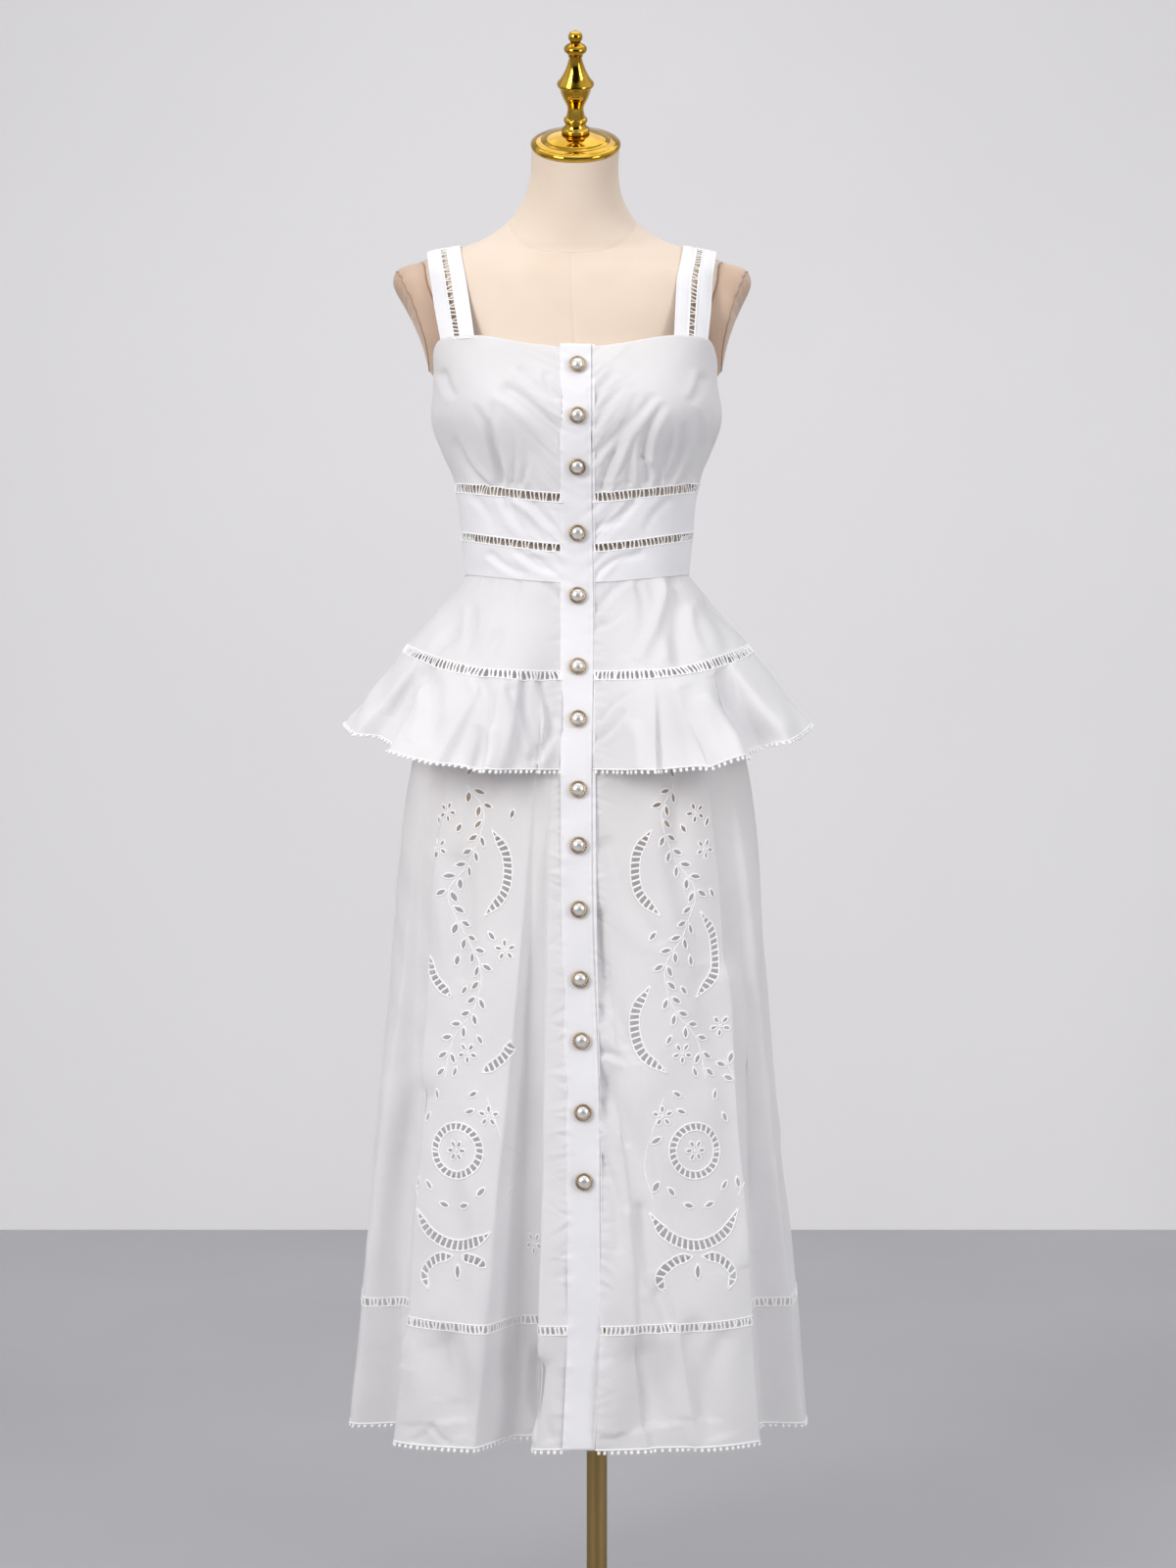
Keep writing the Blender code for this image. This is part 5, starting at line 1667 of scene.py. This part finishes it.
def open_up(panel, out, points, kept, strips):
    """Cut the shapes out of a front: its points with smooth openings, and the faces left."""
    down = np.broadcast_to(panel.drops[:, None], out.shape)
    inside, shift = np.full(out.shape, 1.0), np.zeros((*out.shape, 2))
    shapes = [(in_shape, h, np.array([h[:2]]), h.half_length + HOLE_REACH) for h in kept]
    shapes += [(in_ribbon, s, s.line, STRIP_REACH) for s in strips]
    for measure, shape, places, reach in shapes:
        low, high = places.min(axis=0) - reach, places.max(axis=0) + reach
        rows = np.flatnonzero((panel.drops > low[1]) & (panel.drops < high[1]))
        cols = np.flatnonzero(((out[rows] > low[0]) & (out[rows] < high[0])).any(axis=0))
        part = np.ix_(rows, cols)
        here, way = measure(shape, out[part], down[part])
        closer = here < inside[part]
        inside[part] = np.where(closer, here, inside[part])
        shift[part] = np.where(closer[..., None], way, shift[part])
    faces = grid_faces(*out.shape)
    cut = inside.reshape(-1)[faces].mean(axis=1) < 0
    edge = np.intersect1d(faces[cut], faces[~cut])
    size = np.linalg.norm(shift, axis=-1, keepdims=True)
    shift = shift * np.minimum(1, SNAP_LIMIT / np.maximum(size, 1e-9))
    across = unit(np.gradient(points, axis=1)) * panel.side
    falling = unit(np.gradient(points, axis=0))
    moved = points + across * shift[..., :1] + falling * shift[..., 1:]
    opened = points.reshape(-1, 3).copy()
    opened[edge] = moved.reshape(-1, 3)[edge]
    return opened, faces[~cut]


def on_cloth(grid, spots):
    """A grid's values at rows and columns with fractions."""
    i, j = (np.clip(v.astype(int), 0, n - 2) for v, n in zip(spots, grid.shape))
    a, b = (spots[0] - i)[..., None], (spots[1] - j)[..., None]
    upper = grid[i, j] * (1 - b) + grid[i, j + 1] * b
    lower = grid[i + 1, j] * (1 - b) + grid[i + 1, j + 1] * b
    return upper * (1 - a) + lower * a


print("cutting tools ready")

# %% Define the satin stitching
SATIN_HALF = 0.00095         # half a cord's width, and half its height
SATIN_HIGH = 0.00065
BAR_HALF = 0.0012
BAR_LEAN = 0.18              # how far a bar leans along its ribbon, as a share of its length
STEM_HALF = 0.0007
STEM_HIDDEN = 0.0001         # where a stem would cross a hole or a fold it's no more than this
LOW_CORD = 0.0005            # half the height of bars and stems
STEM_CLEAR = 0.0008          # between a stem and a ribbon's opening


def hole_outline(hole, steps):
    """Places round the edge of a leaf or petal."""
    turn, swing = math.radians(hole.turn), circle(steps)
    u = np.cos(swing)
    v = np.sign(np.sin(swing)) * (1 - u * u) ** hole.tip * hole.half_width
    u = u * hole.half_length
    out = hole.out + u * math.cos(turn) - v * math.sin(turn)
    return np.stack([out, hole.down + u * math.sin(turn) + v * math.cos(turn)], axis=-1)


def stitch_front(word, panel, out, kept, strips, points, normals):
    """All the satin stitch of one front: rims, bars and stems."""
    heap = Heap()

    def sew(places, proud, wide, high, **shape):
        """Lay cords on the cloth along flat places, a little proud of it."""
        spots = grid_places(panel, out, places)
        up = unit(on_cloth(normals, spots))
        tubes(heap, on_cloth(points, spots) + up * proud, up, wide, high, **shape)

    def rim(places):
        sew(places, 0.0002, SATIN_HALF, SATIN_HIGH, sides=5, loop=True)

    for steps, tip in ((16, LEAF_TIP), (12, PETAL_TIP)):
        rim(np.stack([hole_outline(hole, steps) for hole in kept if hole.tip == tip]))
    for line, along, aside, widths, closed in strips:
        edges = (line + aside * widths[:, None], (line - aside * widths[:, None])[::-1])
        for loop in edges if closed else (np.concatenate(edges),):
            rim(loop[None, ::2])
        every = int(BAR_PITCH / FLAT_STEP)
        picked = np.arange(every // 2, len(line), every)
        across = np.linspace(-1, 1, 5)[None, :, None] * widths[picked][:, None, None]
        bars = line[picked][:, None] + aside[picked][:, None] * across
        bars = bars + along[picked][:, None] * across * BAR_LEAN
        sew(bars, -0.0001, BAR_HALF, LOW_CORD)
    for vine in VINES:
        line = flat_curve(vine)[0][::2]
        clear = cut_clear(line) & lies_flat(panel, out, line)
        half = np.where(clear, STEM_HALF, STEM_HIDDEN)
        sew(line[None], 0.0001, half[None], LOW_CORD, sides=5)
    return heap.piece(f"cutwork_stitches_{word}", THREAD, "cotton")


def cut_clear(line):
    """Which points of a stem lie on cloth, away from the ribbons' openings."""
    clear = np.ones(len(line), bool)
    for ribbon in all_ribbons:
        middle = flat_curve(ribbon.places)[0]
        gap = np.linalg.norm(line[:, None] - middle[None], axis=-1).min(axis=1)
        clear &= gap > ribbon.half + STEM_CLEAR
    return clear


print("satin stitch is", 2 * SATIN_HALF * 1000, "mm wide")

# %% Make the skirt's fronts
def run_of_steps(*runs):
    """Shares from 0 to 1 in runs: each is where it ends and how many steps it has."""
    stops, counts = zip(*runs)
    ends = np.cumsum((0, *counts))
    return np.interp(np.arange(ends[-1] + 1), ends, (0.0, *stops))


SKIRT_ROW_RUNS = run_of_steps((0.26, 36), (0.955, 290), (1.0, 10))
SKIRT_COLUMN_RUNS = run_of_steps((0.54, 118), (1.0, 42))
for k, (word, side) in enumerate(SIDES.items()):
    panel = lay_panel(SKIRT, side, "waist", "ladder_4_top", SKIRT_ROW_RUNS, SKIRT_COLUMN_RUNS)
    lift = skirt_lift(panel, 150 + 4 * k) + seam_lift(panel, 212 + k, False)
    points = raised(panel, lift)
    normals = outward(points)
    out = drawn_out(panel)
    kept, strips = shapes_of(panel, out)
    opened, faces = open_up(panel, out, points, kept, strips)
    name = f"skirt_{word}_cloth"
    sheets[name] = make_piece(name, opened, faces, COTTON, "cotton", f"skirt_front_{word}")
    grids[name], cuts[name] = points, flat_cut(panel)
    stitch_front(word, panel, out, kept, strips, points, normals)

# %% [markdown]
# ## Ladder tapes
# Openwork tape joins the bands: two narrow rails with threads between them, through which
# the form or the skirt shows. The rails are laid exactly on the edges of the panels that
# they join, and the rungs lean a little one way and the other, as drawn threads do.

# %% Define the tapes
RAIL_HALF = 0.0008
RAIL_HIGH = 0.0005
RAIL_STEP = 0.0036
RUNG_PITCH = 0.0047
RUNG_HIGH = 0.00045
RUNG_FLARE = (1.5, 1.0, 0.85, 1.0, 1.5)  # a rung's width from rail to rail
RUNG_LEANS = (-0.22, 0.16, 0.30)         # in parts of the pitch; one is drawn for each rung
ROUND_ORDER = ("left", "back", "right")


def edge_round(stem, row):
    """One edge of a ring of panels, from the band's left side round to its right side."""
    return np.concatenate([grids[f"{stem}_{word}_cloth"][row] for word in ROUND_ORDER])


def middles(count):
    """Shares at the middles of equal parts."""
    return (np.arange(count) + 0.5) / count


def between(begin, end, along):
    """Paths from each place to another, at shares of the way."""
    return begin[:, None] + (end - begin)[:, None] * along


def ladder_tape(name, above, below, seed, rung_half, node):
    """A tape between the lower edge of one ring of panels and the upper edge of the next."""
    upper, lower = edge_round(above, -1), edge_round(below, 0)
    length = length_of(upper)
    shares = np.linspace(0, 1, int(length / RAIL_STEP))
    top, foot = walk(upper, shares), walk(lower, shares)
    heap = Heap()
    outs = []
    for line, other, way in ((top, foot, 1), (foot, top, -1)):
        down = unit(walk(other, nearest_share(other, line)) - line) * way
        outs.append(unit(np.cross(down, np.gradient(line, axis=0))))
        path = line - down * way * RAIL_HALF + outs[-1] * 0.0003
        tubes(heap, path[None], outs[-1][None], RAIL_HALF, RAIL_HIGH)
    draw = np.random.default_rng(seed)
    count = int(length / RUNG_PITCH)
    at = middles(count) + draw.normal(0, 0.08, count) / count
    lean = draw.choice(RUNG_LEANS, count) / count
    begin = walk(top, at)
    end = walk(foot, np.clip(nearest_share(foot, begin) + lean, 0, 1))
    lift = read(outs[0], at, shares)[:, None]
    along = np.linspace(0, 1, len(RUNG_FLARE))[:, None]
    rungs = between(begin, end, along) + lift * (0.0002 + 0.0005 * np.sin(math.pi * along))
    tubes(heap, rungs, lift, np.array(RUNG_FLARE) * rung_half, RUNG_HIGH)
    print(name, "has", count, "rungs round", round(length, 3), "m")
    return heap.piece(name, THREAD, "ladder_tape", node)

# %% Make the tapes
TAPES = {                    # the rings above and below, seed, half a rung's width, node
    "bust": ("tape_under_bust", "bust", "upper_waistband", 301, 0.00080, "ladder_under_bust"),
    "waist": ("tape_waist", "upper_waistband", "lower_waistband", 302, 0.00080, "ladder_waist"),
    "peplum": ("tape_peplum", "peplum_upper", "peplum_lower", 303, 0.00130, "ladder_peplum"),
    "hem": ("tape_hem", "skirt", "hem_band", 304, 0.00125, "ladder_hem"),
}
tapes = {word: ladder_tape(*row) for word, row in TAPES.items()}

# %% [markdown]
# ## Picot edges
# The peplum and the hem end in a rolled edge with a row of tiny thread bobbles below it,
# each hanging by two short threads. They are about seven millimetres apart.

# %% Define and make the picots
PICOT_PITCH = 0.0067
PICOT_FALL = 0.0034          # from the rolled edge to the middle of a bobble
BOBBLE_HALF = 0.00175
BOBBLE_TALL = 0.0020
ROLL_RADIUS = 0.0009         # of the rolled edge
HANG_RADIUS = 0.00035        # of the two threads that a bobble hangs by
HANG_FROM, HANG_TO = 0.0013, 0.0005      # half the way between them, above and below


def picot_edge(name, stem, seed, node):
    edge, before = edge_round(stem, -1), edge_round(stem, -2)
    count = int(length_of(edge) / PICOT_PITCH)
    shares = np.linspace(0, 1, int(length_of(edge) / RAIL_STEP))
    roll = walk(edge, shares)
    down = unit(roll - walk(before, shares))
    out = unit(np.cross(down, np.gradient(roll, axis=0)))
    heap = Heap()
    tubes(heap, roll[None], out[None], ROLL_RADIUS, ROLL_RADIUS)
    draw = np.random.default_rng(seed)
    at = np.clip(middles(count) + draw.normal(0, 0.06, count) / count, 0, 1)
    start, fall, lift = (read(values, at, shares)[:, None] for values in (roll, down, out))
    side = unit(np.cross(fall, lift))
    fall = unit(fall + side * draw.normal(0, 0.10, (count, 1, 1)))
    middle = start + fall * PICOT_FALL
    steps = np.linspace(-1, 1, 6)
    size = BOBBLE_HALF * np.sqrt(np.clip(1.04 - steps**2, 0.04, 1))
    size = size * draw.uniform(0.88, 1.08, (count, 1))
    tubes(heap, middle + fall * steps[:, None] * BOBBLE_TALL, lift, size, size * 0.8, sides=8)
    for way in (-1, 1):
        ends = start + side * way * HANG_FROM, middle + side * way * HANG_TO
        tubes(heap, np.concatenate(ends, axis=1), lift, HANG_RADIUS, HANG_RADIUS, sides=4)
    print(name, "has", count, "bobbles")
    return heap.piece(name, THREAD, "ladder_tape", node)


picots = {
    "peplum": picot_edge("picot_edge_peplum", "peplum_lower", 311, "picots_peplum"),
    "hem": picot_edge("picot_edge_hem", "hem_band", 312, "picots_hem"),
}

# %% [markdown]
# ## The button band
# The band runs from the neckline to the hem in one length, folded double, with a line of
# topstitching near each edge. The stitching draws the edges up, so both are puckered all the
# way down, and the band dips a little round each button.

# %% Shape the button band
BAND_ROWS = 380
Across = namedtuple("Across", "share sunk")
TOP_LAYER = table(Across, """
0 .0026, 0 .0012, .012 .0009, .03 .0006, .055 .0003, .07 .0005, .085 .0002, .15 0, .24 0
.34 0, .44 0, .54 0, .64 0, .74 0, .83 0, .895 0, .92 .0003, .945 0, .975 -.0002, .992 0
1 .0008, 1 .0019
""")  # the share of the upper layer's width, and how far in from its face
UNDER_STRIP = table(Across, """
.08 .0019, .3 .0015, .6 .001, .85 .0009, 1 .0011, 1 .0026
""")  # the same for the strip that shows beyond it
FREE_EDGE = table(Bend, """
.25 .82, .33 .92, .45 .85, .6 .93, .8 .76, .94 .78, 1.08 .91, 1.25 .8, 1.38 .79
""")  # where the upper layer ends across the band, by height
MIDDLE_COLUMN = 10
STITCH_COLUMNS = (5, 16)     # of the upper layer
BAND_SHARE = 0.5             # how far the seams' puckers reach into the band
BAND_SWELLS = (0.030, 0.045, 0.00035)
FREE_EDGE_PUCKERS = dict(pitch=0.0090, reach=0.0050, depth=0.0006, half=0.0018, lean=0.25)
BUTTON_DIP, DIP_REACH = 0.0005, 0.008
BUTTON_HEIGHTS = (
    1.356, 1.303, 1.251, 1.183, 1.118, 1.044, 0.990,
    0.918, 0.861, 0.796, 0.725, 0.663, 0.591, 0.522,
)


def band_face(across, z):
    """Points of the band's outer face; across runs from -1 to 1."""
    across, z = np.broadcast_arrays(np.asarray(across, float), np.asarray(z, float))
    x = on_line(BAND_LINE, z) + across * BAND_WIDTH / 2
    depth = np.zeros(z.shape)
    above = z > BODICE_ROWS[-1].z_front
    for layer, here in ((BODICE, above), (SKIRT, ~above)):
        drop = layer.drop_at(0.0, z)
        half, power = layer.column("half", drop), layer.column("power", drop)
        offset = np.abs(x - on_line(MIDDLE_LINE, z)) / half
        depth = np.where(here, on_line(FRONT_LINE, z) * (1 - offset**power) ** (1 / power), depth)
    return np.stack([x, -depth - BAND_PROUD, z], axis=-1)


def button_band():
    z = np.linspace(BAND_TOP, BAND_HEM, BAND_ROWS)[:, None]
    free = on_line(FREE_EDGE, z)
    upper = -1 + (free + 1) * np.array([spot.share for spot in TOP_LAYER])
    strip = free + (1 - free) * np.array([spot.share for spot in UNDER_STRIP])
    across = np.concatenate([upper, strip], axis=1)
    sunk = np.array([spot.sunk for spot in TOP_LAYER + UNDER_STRIP])
    face = band_face(across, z)
    normal = unit(np.cross(np.gradient(face, axis=0), [1.0, 0.0, 0.0]))
    aside, tall = across * BAND_WIDTH / 2, z + 0 * across
    lift = waves(335, aside, tall, *BAND_SWELLS)
    for edge in (-1, 1):
        shared = [p._replace(slope=-p.slope / 2, reach=BAND_SHARE * p.reach)
                  for p in edge_puckers[edge]]
        lift += pucker_lift(shared, tall, np.abs(edge - across) * BAND_WIDTH / 2)
    drawn = draw_puckers(332, BAND_HEM, BAND_TOP, **FREE_EDGE_PUCKERS)
    lift += pucker_lift(drawn, tall, np.abs(free - across) * BAND_WIDTH / 2)
    for height in BUTTON_HEIGHTS:
        lift -= BUTTON_DIP * np.exp(-((np.hypot(aside, z - height) / DIP_REACH) ** 2))
    return face + normal * (lift - sunk)[..., None], normal


band_points, band_normals = button_band()
band_faces = grid_faces(*band_points.shape[:2])
band = make_piece(
    "folded_button_band", band_points, band_faces, DOUBLE_COTTON, "cotton", "button_band"
)
thicken(band, CLOTH_WALL)

# %% Stitch the button band
STITCH_PITCH = 0.0031
STITCH_LONG = 0.0023
STITCH_HALF = 0.00028
STITCH_HIGH = 0.00024


def band_stitches():
    """Two rows of topstitching, sunk a little in their own groove."""
    heap, rows = Heap(), np.arange(BAND_ROWS)
    starts = np.arange(BAND_HEM + 0.004, BAND_TOP - 0.004, STITCH_PITCH)
    heights = starts[:, None] + STITCH_LONG * np.array([1, 0.5, 0])
    at = np.interp(heights, band_points[::-1, MIDDLE_COLUMN, 2], rows[::-1])
    for col in STITCH_COLUMNS:
        paths = read(band_points[:, col], at, rows)
        lift = read(band_normals[:, col], at[:, 1], rows)
        paths[:, 1] += lift * 0.0002
        tubes(heap, paths, lift[:, None], STITCH_HALF, STITCH_HIGH, sides=4, taper=True)
    return heap.piece("band_topstitching", THREAD, "cotton")


topstitching = band_stitches()
print("stitches on the band:", len(topstitching.data.polygons) // 8)

# %% [markdown]
# ## The buttons
# Each button is a pearl dome in a gilt rim that looks like twisted cord, on a shank. The rim
# is a ring whose section turns as it goes round, which gives the twist.

# %% Define and sew on the buttons
CORD_RING = 0.0074           # middle of the rim's cord
CORD_HALF = 0.00140
CORD_TURNS = 20
CORD_SWELL = 0.16            # how far the cord's section is from round
CORD_UP = 0.0030             # from the band's face to the cord's middle
PEARL_RADIUS = 0.0067
BUTTON_SIDES = 108


def button_rim(place):
    """Points of the corded ring; its section turns as it goes round."""
    turn, round_cord = circle(BUTTON_SIDES)[:, None], circle(8)
    reach = CORD_HALF * (1 + CORD_SWELL * np.cos(2 * round_cord - CORD_TURNS * turn))
    radius, height = CORD_RING + reach * np.cos(round_cord), CORD_UP + reach * np.sin(round_cord)
    return spun(radius, height, turn, place)


def button_part(profile, sides, place):
    """Points and faces of a small turned shape."""
    points = spun(*np.array(profile).T[..., None], circle(sides), place)
    return points.reshape(1, -1, 3), grid_faces(len(profile), sides, around=True)


PEARL_PROFILE = [(0.0002, 0.0069)] + [
    (PEARL_RADIUS * math.sin(a), 0.0024 + 0.0045 * math.cos(a))
    for a in np.linspace(0.12, math.pi / 2, 9)
] + [(0.0002, 0.0016)]
PLATE_PROFILE = table(Turn, """
.0002 .003, .007 .003, .0085 .0026, .0083 .0019, .007 .0014, .0034 .0012, .003 0, .0002 0
""")


def sew_button(number, height):
    row = int(np.abs(band_points[:, MIDDLE_COLUMN, 2] - height).argmin())
    normal = Vector(band_normals[row, MIDDLE_COLUMN])
    foot = Vector(band_face(0.0, height)) + normal * 0.0003
    place = facing(foot, normal)
    name = f"button_{number:02d}"
    rim = Heap()
    faces = grid_faces(BUTTON_SIDES, 8, around=True, loop=True)
    rim.add(button_rim(place).reshape(1, -1, 3), faces)
    rim.add(*button_part(PLATE_PROFILE, 32, place))
    rim.piece(f"{name}_rim", BUTTON_GOLD, "polished_gold")
    dome = button_part(PEARL_PROFILE, 40, place)
    make_piece(f"{name}_pearl", *dome, PEARL, "pearl_button", name)


for number, height in enumerate(BUTTON_HEIGHTS, 1):
    sew_button(number, height)
print("buttons:", len(BUTTON_HEIGHTS))

# %% [markdown]
# ## The straps
# Each strap is two strips of doubled cotton with a narrow ladder between them. A strap lies
# against the form only where it is pulled tight: over the shoulder, and nowhere below it. So
# its route is found as a tight band's would be: rays find the form's skin all round the
# shoulder, and the hull of those points, with both ends on the bodice, is the route.

# %% Find the straps' routes
STRAP_WIDTH = 0.036
STRAP_LADDER = 0.006
STRAP_CLEAR = 0.0010
STRAP_PIVOT = (0.008, 1.400)
STRAP_FRONT, STRAP_TOP, STRAP_BACK = 0.1225, 0.1370, 0.1100
STRAP_STEPS = 110
STRAP_STIFF = 0.5            # share of the shoulder's slope that a strap does not follow
STRAP_LEVEL_FROM = 1.42      # height where that begins
CLOTH = 0.0012


def strap_end(side, reach, front):
    """Where a strap meets the bodice's top edge, so far out from the middle line."""
    degrees = np.linspace(20, 89, 400) if front else np.linspace(91, 160, 400)
    z = on_line(NECKLINE, degrees)
    spots = BODICE.points(side * degrees, BODICE.drop_at(degrees, z))
    out = np.abs(spots[:, 0] - on_line(MIDDLE_LINE, z))
    spot = spots[np.abs(out - reach).argmin()]
    inwards = np.array([on_line(MIDDLE_LINE, spot[2]) - spot[0], -spot[1], 0.0])
    return spot + unit(inwards) * CLOTH - (0, 0, 0.004)


def taut(points):
    """The points of an arch that a tight band touches: its hull, seen from the side."""
    kept = []
    for point in points:
        while len(kept) > 1:
            first, second = kept[-1] - kept[-2], point - kept[-1]
            if first[1] * second[2] - first[2] * second[1] < 0:
                break
            kept.pop()
        kept.append(point)
    return kept


def strap_line(side, offset):
    """Inner line of a strap at an offset across it, front to back over the shoulder."""
    middle = float(on_line(MIDDLE_LINE, 1.47))
    points = [strap_end(side, STRAP_FRONT + offset, True)]
    for degrees in range(-80, 101, 3):
        angle = math.radians(degrees)
        away = Vector((0, math.sin(angle), math.cos(angle)))
        reach = float(curve_through((-80, 0, 100), (STRAP_FRONT, STRAP_TOP, STRAP_BACK), degrees))
        pivot = Vector((middle + side * (reach + offset), *STRAP_PIVOT))
        hit = form_tree.ray_cast(pivot + away * 0.3, -away)[0]
        if hit and (hit - pivot).dot(away) > 0:
            points.append(np.array(hit + away * STRAP_CLEAR))
    points.append(strap_end(side, STRAP_BACK + offset, False))
    line = walk(np.array(taut(points)), np.linspace(0, 1, STRAP_STEPS))
    for _ in range(3):
        line[1:-1] = (line[:-2] + 2 * line[1:-1] + line[2:]) / 4
    return line


def stiff_line(side, offset):
    """A strap's line with the strap's own stiffness: nearly level across at the shoulder."""
    line, inner = strap_line(side, offset), strap_line(side, -STRAP_WIDTH / 2)
    share = STRAP_STIFF * ease((line[:, 2] - STRAP_LEVEL_FROM) / 0.04)
    line[:, 2] += share * (inner[:, 2] - line[:, 2])
    return line


print("a strap is", round(length_of(stiff_line(1, 0.0)), 3), "m long")

# %% Make the straps
STRIP_PROFILE = table(Across, """
0 0, 0 .0007, .03 .0011, .09 .0012, .14 .0009, .2 .0012, .4 .0013, .6 .0013, .8 .0012
.86 .0009, .91 .0012, .97 .0011, 1 .0007, 1 0
""")  # the share of a strip's width, and how far out from its inner face
STRAP_RAIL = (0.0006, 0.0005)            # half a cord's width, and half its height
STRAP_RUNG = (0.0007, 0.0004)
STRAP_RUNG_PITCH = 0.0050
STRAP_RUNG_LEANS = (-0.35, 0.35)
STRAP_SWELLS = (0.020, 0.050, 0.00025)
STRAP_PUCKERS = dict(pitch=0.009, reach=0.004, depth=0.0004, half=0.0016)
THREADS_OUT = 0.0008         # how far the ladder lies out from the strips' inner face


def strap_frame(side, near, far):
    """A strip's two edges, and its outward direction, all along."""
    first, last = stiff_line(side, near), stiff_line(side, far)
    across = unit(last - first) * side
    along = unit(np.gradient((first + last) / 2, axis=0))
    return first, last, unit(np.cross(across, along))


def strap_strip(name, side, near, far, seed, node):
    first, last, lift = strap_frame(side, near, far)
    share, out = np.array(STRIP_PROFILE).T
    length, wide = length_of(first), far - near
    across, along = np.meshgrid(wide * share, np.linspace(0, length, STRAP_STEPS))
    raised = waves(seed, across, along, *STRAP_SWELLS)
    drawn = draw_puckers(seed + 1, 0, length, **STRAP_PUCKERS)
    raised += pucker_lift(drawn, along, np.minimum(across, wide - across))
    points = between(first, last, share[:, None])
    points = points + lift[:, None] * (out + np.clip(raised, -0.0003, None))[..., None]
    faces = grid_faces(*points.shape[:2])
    sheets[name] = make_piece(name, points[:, ::side], faces, DOUBLE_COTTON, "cotton", node)
    cuts[name] = (wide, length, wide * length)


def strap_ladder(name, side, seed, node):
    """Rungs that cross from strip to strip, with a rail along each."""
    half = STRAP_LADDER / 2
    first, last, lift = strap_frame(side, -half, half)
    heap = Heap()
    for line, way in ((first, -1), (last, 1)):
        path = line + unit(last - first) * way * 0.0004 + lift * THREADS_OUT
        tubes(heap, path[None], lift[None], *STRAP_RAIL)
    count = int(length_of(first) / STRAP_RUNG_PITCH)
    at = middles(count)
    lean = np.random.default_rng(seed).choice(STRAP_RUNG_LEANS, count) / count
    up = read(lift, at, np.linspace(0, 1, STRAP_STEPS))[:, None]
    begin, end = walk(first, at), walk(last, np.clip(at + lean, 0, 1))
    rungs = between(begin, end, np.linspace(0, 1, 4)[:, None]) + up * THREADS_OUT
    tubes(heap, rungs, up, *STRAP_RUNG)
    return heap.piece(name, THREAD, "ladder_tape", node)


for k, (word, side) in enumerate(SIDES.items()):
    half, gap = STRAP_WIDTH / 2, STRAP_LADDER / 2
    stem = f"strap_{word}"
    strap_strip(f"{stem}_inner_strip", side, -half, -gap, 350 + k, f"{stem}_inner")
    strap_strip(f"{stem}_outer_strip", side, gap, half, 360 + k, f"{stem}_outer")
    strap_ladder(f"{stem}_ladder_threads", side, 370 + k, f"{stem}_ladder")
print("strap cuts:", {k: round(v[1], 3) for k, v in cuts.items() if "strap" in k})

# %% [markdown]
# ## The arm caps
# A padded cap closes each armhole of the form. Its cover is darker and is gathered in pleats
# at the top of the shoulder, and a thin dark cord runs round its rim.

# %% Make the arm caps
CAP_Y, CAP_Z = 0.004, 1.415
CAP_DEEP, CAP_TALL, CAP_BULGE = 0.043, 0.063, 0.0215
CAP_GAP = 0.0017             # between the form's skin and the cap's lowest ring
CAP_RINGS = 26
GATHER_RING = 21             # the ring of the cap that the gathering cord lies on
CAP_SIDES = 96
CAP_DROP = 0.0018            # how far the rim turns in towards the form
CAP_CORD = 0.0010
PLEATS = 11
PLEAT_DEPTH = 0.0024


def arm_cap(word, side):
    share, turn = np.linspace(0.02, 1, CAP_RINGS)[:, None], circle(CAP_SIDES)
    y, z = CAP_Y + share * CAP_DEEP * np.cos(turn), CAP_Z + share * CAP_TALL * np.sin(turn)
    feet = np.stack([on_line(MIDDLE_LINE, z), y, z], axis=-1)
    away = Vector((side, 0, 0))
    hits = [form_tree.ray_cast(Vector(p) + away * 0.3, -away)[0].x for p in feet.reshape(-1, 3)]
    skin = smooth = np.reshape(hits, z.shape)
    for _ in range(4):
        smooth = (np.roll(smooth, 1, axis=1) + 2 * smooth + np.roll(smooth, -1, axis=1)) / 4
    further = np.maximum if side > 0 else np.minimum
    bulge = CAP_GAP + CAP_BULGE * np.sqrt(1 - share**8)
    top = (1 + np.sin(turn)) / 2
    pleat = PLEAT_DEPTH * np.cos(PLEATS * 2 * turn) * top**1.5 * np.sin(math.pi * share)
    seam = -0.0009 * np.exp(-(((turn - math.pi / 2) / 0.05) ** 2)) * share
    feet[..., 0] = further(smooth, skin) + side * (bulge + pleat + seam)
    points = np.concatenate([feet, feet[-1:] - (side * CAP_DROP, 0, 0)])
    faces = grid_faces(CAP_RINGS + 1, CAP_SIDES, around=True)[:, ::-side]
    name = f"arm_cap_{word}"
    make_piece(f"padded_{name}", points, faces, ARM_JERSEY, "arm_cover", name)
    heap = Heap()
    for ring in (-1, GATHER_RING):
        cord = feet[ring] - (side * 0.0001, 0, 0)
        lift = np.array([side, 0.0, 0.0]) + 0 * cord
        tubes(heap, cord[None], lift[None], CAP_CORD, CAP_CORD, loop=True)
    heap.piece(f"{name}_cord", CORD_JERSEY, "arm_cover")


for word, side in SIDES.items():
    arm_cap(word, side)
print("arm caps have", PLEATS, "pleats each")

# %% [markdown]
# ## The cloth's cuts
# Each panel's cut is printed: its width, its length and its flat area. Then the triangles
# of the shown pieces are counted.


for name, (width, length, area) in sorted(cuts.items()):
    print(name, "was cut", round(width, 3), "by", round(length, 3), "m, area", round(area, 4))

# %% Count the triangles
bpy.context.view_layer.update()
triangles = sum(
    len(polygon.vertices) - 2
    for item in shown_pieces() if item.type == "MESH" for polygon in item.data.polygons
)
print("triangles before the walls are added:", triangles)
